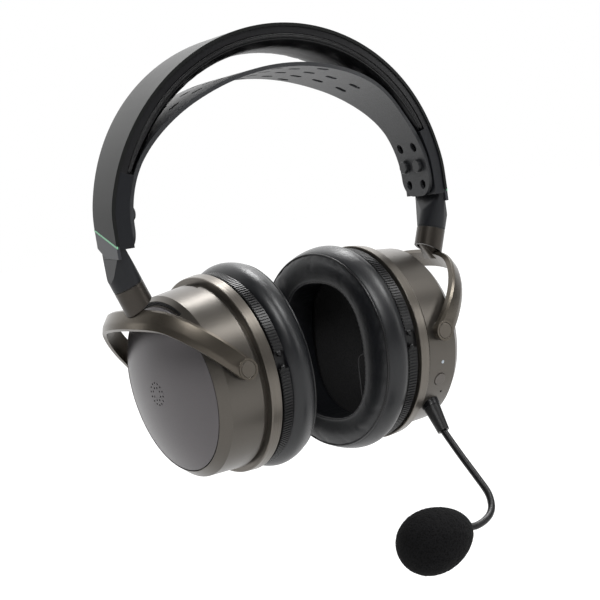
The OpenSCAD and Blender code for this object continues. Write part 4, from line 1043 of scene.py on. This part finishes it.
@dataclass
class Headband:
    """The sprung band: metal skin, frame, padded roll, end caps and their covers. Millimetres.

    A point of the section has its share of half the depth and its share of the thickness, and piping runs
    along the points that seams counts off.
    """

    shop: Workshop
    arch: Arch = field(default_factory=Arch)
    cap_sharp: float = 20.0
    under_frame: float = 5.0
    roll_t: float = 5.6
    end_t: float = 3.6
    end_heading: float = 68.0
    taper: float = 16.0
    swell: float = 0.9
    stations: int = 171
    panel_steps: int = 4
    piping_r: float = 0.55
    piping_proud: float = 0.004
    piping_end: float = 0.6
    piping_steps: int = 120
    stitch_at: tuple[float, float] = (0.965, 0.40)
    stitch_pitch: float = 1.55
    stitch_end: float = 2.0
    stitch_reach: float = 0.4
    stitch: Triple = (1.7, 0.42, 0.42)
    section: tuple[tuple[float, float], ...] = (
        (0.9, 0), (0.97, 0.06), (0.985, 0.16), (0.95, 0.22), (0.985, 0.28), (0.97, 0.44),
        (0.92, 0.52), (0.935, 0.58), (0.83, 0.82), (0.6, 0.95), (0.3, 1), (0, 1),
    )
    seams: tuple[int, ...] = (3, 6)

    def _place(self, heading: float, across: float, share: float) -> np.ndarray:
        """A point of the roll.

        Args:
            heading: Angle from the top, in degrees.
            across: Share of half the depth.
            share: Share of the thickness, from the frame down.

        Returns:
            The point.
        """
        width = self.arch.depth(self.arch.at(0, heading)[0]) / 2
        full = smooth((self.end_heading - abs(heading)) / self.taper)
        thick = self.end_t + (self.roll_t - self.end_t) * full
        p = self.arch.at(self.under_frame + share * thick, heading)
        return np.array([p[0], across * width, p[1]])

    def roll(self) -> None:
        """Builds the padded roll by cloth, between its seams."""
        marks = np.array(self.section)
        cuts = (0, *self.seams, len(marks) - 1)
        half, seam = panels([(marks[a : b + 1], self.panel_steps) for a, b in zip(cuts, cuts[1:])])
        ring = np.vstack([half, marks[-1:], half[::-1] * [-1, 1]])
        seam = [*seam, False, *seam[::-1]]
        headings = np.linspace(-self.end_heading, self.end_heading, self.stations)
        rings = np.array([[self._place(h, *q) for q in ring] for h in headings])
        held = np.array(seam * len(headings) + [True, True])
        held[: len(ring)] = held[-len(ring) - 2 :] = True
        coat = self.shop.paint.get("band_leather")
        obj = piece("band_roll", loft(rings, False), coat, "headband", ride=False)
        moved_by = puff(obj, held, self.swell * MM)
        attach(obj, "headband")
        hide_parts("headband_pad")
        log.info("band_roll: %d points, filled by %.2f mm", len(held), moved_by)

    def trim(self) -> None:
        """Builds the piping and the stitches along the roll's seams."""
        end = self.end_heading - self.piping_end
        headings = np.linspace(-end, end, self.piping_steps)
        parts = []
        for side in (-1, 1):
            for mark in self.seams:
                across, share = self.section[mark]
                path = [self._place(h, side * (across + self.piping_proud), share) for h in headings]
                parts.append(tube(np.array(path), self.piping_r, False))
        piece("band_piping", join_meshes(parts), self.shop.paint.get("piping"), "headband")
        places, along = [], []
        (across, share), reach = self.stitch_at, self.stitch_reach
        end = self.end_heading - self.stitch_end
        for side in (-1, 1):
            for h in np.arange(-end, end, self.stitch_pitch):
                a, b = (self._place(h + d, side * across, share) for d in (-reach, reach))
                places.append((a + b) / 2)
                along.append(unit(b - a))
        out = np.array([[0, math.copysign(1, p[1]), 0.0] for p in places])
        self.shop.stitches.run(
            "band_stitches", np.array(places) * MM, np.array(along), out, self.stitch,
            self.shop.paint.get("thread"), "headband",
        )
        log.info("band_piping and %d band_stitches", len(places))

    def build(self) -> None:
        """Builds and dresses the whole band."""
        self.shop.shell("headband_skin", "skin_metal")
        self.shop.shell("headband_frame", "frame_black")
        self.shop.plain({"headband_spring": "spring_steel", "accent_lines": "accent_green"})
        for side in Side:
            self.shop.shell(f"end_cap_{side.word}", "cap_plastic", sharp=self.cap_sharp)
            self.shop.shell(f"end_cover_{side.word}", "cover_plastic")
        self.roll()
        self.trim()
        log.info("headband dressed")


@dataclass
class Strap:
    """The perforated suspension strap and the studs that carry it."""

    shop: Workshop
    sharp: float = 25.0

    def build(self) -> None:
        """Dresses the strap and its studs."""
        self.shop.shell("suspension_strap", "strap_plastic", sharp=self.sharp)
        self.shop.shell("strap_studs", "stud_plastic")
        log.info("strap dressed")


@dataclass
class Hanger:
    """One side's collar, yoke, swivel and pivots."""

    shop: Workshop
    side: Side
    yoke_sharp: float = 22.0

    def build(self) -> None:
        """Dresses the collar, the yoke and their pins."""
        word = self.side.word
        self.shop.shell(f"collar_{word}", "collar_bronze")
        self.shop.shell(f"yoke_{word}", "yoke_bronze", sharp=self.yoke_sharp)
        self.shop.shell(f"pivot_pins_{word}", "pin_bronze")
        self.shop.plain({f"swivel_pin_{word}": "pin_steel", f"swivel_washer_{word}": "washer_black"})
        log.info("hanger %s dressed", word)


@dataclass
class Cup:
    """One ear cup with its driver."""

    shop: Workshop
    side: Side

    def build(self) -> None:
        """Dresses the cup's shells and what is inside it."""
        word = self.side.word
        self.shop.shell(f"back_cover_{word}", "dome_grey", self.side)
        self.shop.shell(f"cup_body_{word}", "cup_bronze", self.side)
        self.shop.shell(f"baffle_ring_{word}", "flange_metal", self.side)
        self.shop.plain({
            f"vent_insert_{word}": "gap_black", f"driver_frame_{word}": "driver_plastic",
            f"driver_magnets_{word}": "magnet_metal", f"driver_film_{word}": "driver_film",
            f"cup_screws_{word}": "screw_steel",
        })
        if self.side is Side.RIGHT:
            self.shop.plain({"battery": "battery_wrap"})
        log.info("cup %s dressed", word)


@dataclass
class EarPad:
    """One twist-lock ear pad: ribbed ring, cloth and leatherette cushion. Millimetres, in the cup's frame.

    A point of the cushion's section has its swell out of the base, its share of the way to the ear
    opening and its share of the height.
    """

    shop: Workshop
    side: Side
    lock_r: float = 51.0
    lock_neck: float = 1.8
    lock_t: float = 7.4
    base_r: float = 50.4
    bulge: float = 4.1
    front: float = 25.4
    wedge: float = 0.08
    half_w: float = 32.0
    half_h: float = 36.0
    power: float = 2.5
    opening_shift: tuple[float, float] = (1.0, -0.6)
    swell: float = 1.1
    stations: int = 200
    rib_pitch: float = 1.6
    rib: tuple[float, float] = (0.75, 0.7)
    rib_room: float = 0.5
    rib_proud: float = 0.1
    lock_gaps: tuple[tuple[float, float], ...] = ((0.2, 11), (169, 179.8))
    mark_run: float = 3.2
    mark_room: float = 0.3
    mark_deep: float = 0.5
    mark_proud: float = 0.45
    piping_at: Triple = (0.19, 0, 0.955)
    piping_r: float = 0.6
    piping_steps: int = 220
    stitch_at: Triple = (0, 0.93, 0.925)
    stitch_count: int = 92
    stitch: Triple = (1.6, 0.4, 0.4)
    outer: tuple[Triple, ...] = (
        (0, 0, 0), (0.5, 0, 0.1), (0.86, 0, 0.24), (1, 0, 0.4), (0.93, 0, 0.58), (0.7, 0, 0.77),
        (0.42, 0, 0.9), (0.2, 0, 0.945),
    )
    crown: tuple[Triple, ...] = (
        (0.2, 0, 0.945), (0.14, 0.02, 0.99), (0, 0.16, 1.02), (0, 0.42, 1.03), (0, 0.68, 1.01),
        (0, 0.86, 0.965), (0, 0.93, 0.92),
    )
    mouth: tuple[Triple, ...] = (
        (0, 0.93, 0.92), (0, 0.975, 0.91), (0, 1.0, 0.84), (0, 1.0, 0.45), (0, 0.96, 0),
    )
    label_half: tuple[float, float] = (13, 15)
    label_at: Triple = (-15, -20, -4.55)
    label_power: float = 5.0
    label_r: float = 0.3
    label_steps: int = 96

    def __post_init__(self) -> None:
        """Notes the pad's body and its place."""
        self.word = self.side.word
        self.body = f"pad_{self.word}"
        self.matrix = CupFrame(self.side).matrix()

    def _opening(self, a: np.ndarray) -> np.ndarray:
        """Radius of the ear opening at an angle."""
        c, s = np.abs(np.cos(a)) / self.half_w, np.abs(np.sin(a)) / self.half_h
        return (c**self.power + s**self.power) ** (-1 / self.power)

    def _place(self, a: float, q: np.ndarray) -> np.ndarray:
        """A point of the cushion.

        Args:
            a: Its angle round the cup's axis, in radians.
            q: The point of the section.

        Returns:
            The point.
        """
        r = self.base_r + (self._opening(a) - self.base_r) * q[1] + q[0] * self.bulge
        x = r * np.cos(a)
        high = self.front - self.lock_t + self.wedge * x
        aside, up = self.opening_shift
        return np.stack([x + aside * q[1], r * np.sin(a) + up * q[1], -self.lock_t - q[2] * high], -1)

    def cushion(self) -> None:
        """Builds the cushion: three panels of leatherette between seams, filled by cloth."""
        line, seam = panels([(self.outer, 3), (self.crown, 4), (self.mouth, 4)])
        line = np.vstack([line, self.mouth[-1]])
        angles = np.linspace(0, 2 * np.pi, self.stations, endpoint=False)
        rings = np.array([[self._place(a, q) for q in line] for a in angles])
        coat, body = self.shop.paint.get("pad_leather"), self.body
        obj = piece(f"ear_cushion_{self.word}", loft(rings, True), coat, body, self.matrix, False)
        moved_by = puff(obj, np.array((seam + [True]) * len(angles)), self.swell * MM)
        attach(obj, body)
        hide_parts(f"ear_pad_{self.side.word}")
        log.info("%s: %d points, filled by %.2f mm", obj.name, rings.size // 3, moved_by)

    def trim(self) -> None:
        """Builds the piping in the outer seam and the stitches of the seam in the mouth."""
        angles = np.linspace(0, 2 * np.pi, self.piping_steps, endpoint=False)
        path = np.array([self._place(a, self.piping_at) for a in angles])
        coat = self.shop.paint.get("piping")
        piece(f"pad_piping_{self.word}", tube(path, self.piping_r, True), coat, self.body, self.matrix)
        m = np.array(self.matrix)
        steps = np.linspace(0, 2 * np.pi, self.stitch_count, endpoint=False)
        spots = np.array([self._place(a, self.stitch_at) for a in steps])
        ahead = np.roll(spots, -1, 0) - np.roll(spots, 1, 0)
        self.shop.stitches.run(
            f"pad_stitches_{self.word}", moved(spots, m), ahead @ m[:3, :3].T,
            np.tile(-m[:3, 2], (len(spots), 1)), self.stitch, self.shop.paint.get("thread"), self.body,
        )
        log.info("pad_piping_%s and %d pad_stitches_%s", self.word, len(spots), self.word)

    def ribs(self) -> None:
        """Sets the grip ribs round the twist-lock ring, clear of its two marks."""
        count = int(2 * math.pi * self.lock_r / self.rib_pitch)
        angles = np.linspace(0, 360, count, endpoint=False)
        clear = [not any(a0 <= a <= a1 for a0, a1 in self.lock_gaps) for a in angles]
        a = np.radians(angles[clear])
        mid = -(self.lock_neck + self.lock_t) / 2
        out = np.stack([np.cos(a), np.sin(a), 0 * a], -1)
        m = np.array(self.matrix)
        places = moved(out * (self.lock_r + self.rib_proud) + [0, 0, mid], m)
        size = (self.lock_t - self.lock_neck - self.rib_room, *self.rib)
        self.shop.ribs.run(
            f"lock_ribs_{self.word}", places, np.tile(m[:3, 2], (len(a), 1)), out @ m[:3, :3].T, size,
            self.shop.paint.get("ring_black"), self.body,
        )
        log.info("lock_ribs_%s: %d ribs", self.word, len(a))

    def marks(self) -> None:
        """Sets a pair of pointers at the ends of each gap in the ribs."""
        parts = []
        low, high = -self.lock_t + self.mark_room, -self.lock_neck - self.mark_room
        for gap in self.lock_gaps:
            for start, way in zip(gap, (1, -1)):
                corners = ((0.0, low), (0.0, high), (way * self.mark_run / self.lock_r, (low + high) / 2))
                ring = []
                for r in (self.lock_r - self.mark_deep, self.lock_r + self.mark_proud):
                    for turn, z in corners:
                        a = math.radians(start) + turn
                        ring.append((r * math.cos(a), r * math.sin(a), z))
                faces = [(0, 1, 2), (5, 4, 3), (0, 3, 4, 1), (1, 4, 5, 2), (2, 5, 3, 0)]
                parts.append((np.array(ring), faces))
        coat = self.shop.paint.get("ring_black")
        piece(f"lock_marks_{self.word}", join_meshes(parts), coat, self.body, self.matrix)
        log.info("lock_marks_%s: %d pointers", self.word, len(parts))

    def label(self) -> None:
        """Lays the stitched outline on the cloth inside the pad."""
        t = np.linspace(0, 2 * np.pi, self.label_steps, endpoint=False)
        (w, h), (x, y, z), k = self.label_half, self.label_at, self.label_power
        r = (np.abs(np.cos(t) / w) ** k + np.abs(np.sin(t) / h) ** k) ** (-1 / k)
        path = np.stack([r * np.cos(t) + x, r * np.sin(t) + y, np.full_like(t, z)], -1)
        coat = self.shop.paint.get("label_line")
        piece(f"cloth_outline_{self.word}", tube(path, self.label_r, True, 6), coat, self.body, self.matrix)

    def build(self) -> None:
        """Builds and dresses the pad."""
        self.shop.shell(f"pad_ring_{self.word}", "ring_black")
        self.shop.plain({f"pad_cloth_{self.word}": "cloth_black"})
        self.cushion()
        self.trim()
        self.ribs()
        self.marks()
        self.label()
        log.info("ear pad %s dressed", self.word)


@dataclass
class Controls:
    """The left cup's button, light, wheel, sockets and board."""

    shop: Workshop

    def build(self) -> None:
        """Dresses the controls."""
        for node, finish in (
            ("power_button", "button_grey"), ("volume_wheel", "ring_black"), ("audio_jack", "frame_black"),
            ("mic_socket", "frame_black"), ("charge_port", "port_metal"), ("status_light", "light_lens"),
        ):
            self.shop.shell(node, finish)
        self.shop.plain({"circuit_board": "board_green", "wheel_bracket": "driver_plastic"})
        log.info("controls dressed")


@dataclass
class Boom:
    """The plug-in microphone: boot, gooseneck and foam windscreen. Millimetres, in the left cup's frame."""

    shop: Workshop
    out: float = 15.5
    lean: float = -122.7
    base: tuple[float, float] = (-35.2, -34.3)
    boot_l: float = 15.6
    neck_d: float = 3.7
    neck_sides: int = 20
    foam_at: Triple = (-86.5, -87.4, -29.6)
    foam_dir: Triple = (-0.08, -0.07, -0.99)
    foam_l: float = 21.5
    foam_r: float = 15.8
    foam_skew: float = 0.15
    foam_rough: float = 0.06
    foam_inset: float = 0.05
    foam_grid: tuple[int, int] = (150, 220)
    foam_seed: int = 7
    capsule_back: float = 8.5

    def __post_init__(self) -> None:
        """Notes the left cup's place."""
        self.matrix = CupFrame(Side.LEFT).matrix()

    def neck_path(self) -> np.ndarray:
        """The gooseneck's centre line.

        Returns:
            The line's points, from the boot to the capsule.
        """
        a = math.radians(self.lean)
        start = np.array([*self.base, self.out]) + self.boot_l * np.array([math.cos(a), math.sin(a), 0])
        marks = (
            start, (-55.6, -58.9, self.out), (-67, -69.6, self.out + 0.3), (-74.3, -76.3, self.out),
            (-79.6, -81.1, 12.6), (-83, -84.1, 8.3), (-84.9, -86, 2.9), (-85.9, -86.9, -3.1),
            (-85.8, -86.8, -7.6), np.array(self.foam_at) - self.capsule_back * unit(np.array(self.foam_dir)),
        )
        return spline(np.array([np.array(p, float) for p in marks]), 8)

    def neck(self) -> None:
        """Runs the gooseneck's sleeve along its line."""
        path = moved(self.neck_path(), self.matrix)
        coat = self.shop.paint.get("neck_rubber")
        obj = self.shop.sleeve.run("neck_sleeve", path, self.neck_d / 2 * MM, self.neck_sides, coat, "boom")
        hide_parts("gooseneck")
        log.info("neck_sleeve: %d points on its line", len(path))

    def foam(self) -> None:
        """Builds the foam windscreen with its open cells in the surface."""
        rows, cols = self.foam_grid
        rng = np.random.default_rng(self.foam_seed)
        up = np.linspace(-np.pi / 2, np.pi / 2, rows + 2)[1:-1, None]
        around = np.linspace(0, 2 * np.pi, cols, endpoint=False)
        rough = rng.normal(0, 1, (rows, cols))
        for _ in range(2):
            near = [np.roll(rough, step, axis) for axis in (1, 0) for step in (1, -1)]
            rough = (rough + near[0] + near[1] + near[2] + near[3]) / 2.6
        r = self.foam_r * np.cos(up) * (1 + self.foam_skew * np.sin(up))
        r = r + self.foam_rough * rough * np.cos(up) ** 0.5 - self.foam_inset
        z = self.foam_l * np.sin(up) + 0 * r
        way = unit(np.array(self.foam_dir))
        side = unit(np.cross(way, [0, 1, 0]))
        high = np.cross(way, side)
        rings = np.array(self.foam_at) + (r * np.cos(around))[..., None] * side
        rings = rings + (r * np.sin(around))[..., None] * high + z[..., None] * way
        coat = self.shop.paint.get("foam_black")
        obj = piece("foam_windscreen", loft(rings, False), coat, "boom", self.matrix)
        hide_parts("windscreen")
        log.info("foam_windscreen: %d points", rows * cols)

    def build(self) -> None:
        """Builds and dresses the boom."""
        self.shop.shell("boom_boot", "boot_rubber")
        self.shop.plain({"mic_plug": "plug_metal", "mic_capsule": "frame_black"})
        self.neck()
        self.foam()
        log.info("boom dressed")


# ---------------------------------------------------------------- studio


@dataclass(frozen=True)
class Lamp:
    """A soft square lamp: its place, its side and its power in watts, and the point it faces. Metres."""

    name: str
    at: Triple
    size: float
    power: float
    aim: Triple = (0, 0, 0.05)

    def hang(self) -> None:
        """Hangs the lamp."""
        data = bpy.data.lights.new(self.name, "AREA")
        data.shape, data.size, data.energy = "SQUARE", self.size, self.power
        lamp = bpy.data.objects.new(self.name, data)
        way = (Vector(self.aim) - Vector(self.at)).normalized()
        lamp.rotation_euler = way.to_track_quat("-Z", "Y").to_euler()
        lamp.location = self.at
        bpy.context.scene.collection.objects.link(lamp)


@dataclass
class Studio:
    """Camera, floor, world and lamps. Metres.

    Reflections see a dim room with one bright backdrop, and the camera sees plain white. The floor lies
    boom_room below the object, so that the boom swings clear of it.
    """

    eye: Triple = (-0.35156, -0.66272, 0.10299)
    right: Triple = (0.86371, -0.4803, -0.15271)
    up: Triple = (0.1807, 0.01226, 0.98346)
    back: Triple = (-0.47048, -0.87702, 0.09738)
    lens: float = 86.97
    sensor: float = 36.0
    clip: tuple[float, float] = (0.02, 30.0)
    floor_half: float = 4.0
    floor_grey: float = 0.86
    floor_glow: float = 1.25
    floor_share: float = 0.86
    boom_room: float = 0.022
    world: float = 0.16
    room: float = 0.04
    backdrop: Triple = (0.22, 0.84, 0.50)
    backdrop_glow: float = 1.7
    backdrop_edges: tuple[float, float] = (0.3, 0.95)
    lamps: tuple[Lamp, ...] = (
        Lamp("key", (-0.6, -1.0, 1.2), 0.6, 18.0),
        Lamp("fill", (1.3, -1.1, 0.5), 0.5, 4.0),
        Lamp("crown", (0.75, -0.6, 1.15), 0.4, 11.0, (0.05, 0, 0.05)),
        Lamp("side", (-1.3, 0.7, 0.5), 0.5, 2.0),
        Lamp("top", (0.6, 0.45, 1.25), 0.6, 26.0),
    )

    def camera(self) -> None:
        """Sets the camera."""
        data = bpy.data.cameras.new("view")
        data.sensor_width, data.lens = self.sensor, self.lens
        data.clip_start, data.clip_end = self.clip
        camera = bpy.data.objects.new("view", data)
        columns = zip(self.right, self.up, self.back, self.eye)
        camera.matrix_world = Matrix([list(row) for row in columns] + [[0, 0, 0, 1]])
        bpy.context.scene.collection.objects.link(camera)
        bpy.context.scene.camera = camera

    def _pale(self, g: Graph) -> Socket:
        """Returns 1 for rays that should see the pale background."""
        path = g.add("ShaderNodeLightPath").outputs
        seen = g.math("MAXIMUM", path["Is Camera Ray"], path["Is Transmission Ray"])
        return g.math("MAXIMUM", seen, path["Is Glossy Ray"])

    def surroundings(self) -> None:
        """Lights the world."""
        world = bpy.data.worlds.new("plain")
        g = Graph.cleared(world)
        way = g.add("ShaderNodeTexCoord").outputs["Generated"]
        facing = g.add("ShaderNodeVectorMath", {0: way, 1: self.backdrop}, operation="DOT_PRODUCT")
        room = g.ramp(facing.outputs["Value"], *self.backdrop_edges, self.room, self.backdrop_glow)
        plain, white, room = (
            g.add("ShaderNodeBackground", {"Color": WHITE, "Strength": strength}).outputs[0]
            for strength in (self.world, 1.0, room)
        )
        seen = g.blend(g.add("ShaderNodeLightPath").outputs["Is Glossy Ray"], white, room)
        g.add("ShaderNodeOutputWorld", {"Surface": g.blend(self._pale(g), plain, seen)})
        bpy.context.scene.world = world

    def floor(self, low: float) -> None:
        """Lays the floor.

        Args:
            low: Height of the object's lowest point.
        """
        half, z = self.floor_half, low - self.boom_room
        corners = [(-half, -half, z), (half, -half, z), (half, half, z), (-half, half, z)]
        mesh = bpy.data.meshes.new("floor")
        mesh.from_pydata(corners, [], [(0, 1, 2, 3)])
        floor = bpy.data.objects.new("floor", mesh)
        bpy.context.scene.collection.objects.link(floor)
        material = bpy.data.materials.new("floor_white")
        g = Graph.cleared(material)
        matte = g.add("ShaderNodeBsdfDiffuse", {"Color": (*[self.floor_grey] * 3, 1)}).outputs[0]
        glow = g.add("ShaderNodeEmission", {"Color": WHITE, "Strength": self.floor_glow}).outputs[0]
        share = g.math("MULTIPLY", self._pale(g), self.floor_share)
        g.add("ShaderNodeOutputMaterial", {"Surface": g.blend(share, matte, glow)})
        mesh.materials.append(material)
        floor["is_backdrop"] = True

    def build(self, low: float) -> None:
        """Sets up everything but the camera.

        Args:
            low: Height of the object's lowest point.
        """
        self.surroundings()
        self.floor(low)
        for lamp in self.lamps:
            lamp.hang()
        bpy.context.scene.view_settings.view_transform = "Standard"
        log.info("studio set")


def main() -> None:
    """Builds the whole headset around the frame."""
    studio = Studio()
    studio.camera()
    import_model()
    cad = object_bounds()
    shop = Workshop(Paintbox(), Repeater(Element.STITCH), Repeater(Element.RIB), PathTube())
    Headband(shop).build()
    Strap(shop).build()
    for side in Side:
        Hanger(shop, side).build()
        Cup(shop, side).build()
        EarPad(shop, side).build()
    Controls(shop).build()
    Boom(shop).build()
    studio.build(cad[0][2])
    log.info("headset dressed")


if __name__ == "__main__":
    main()
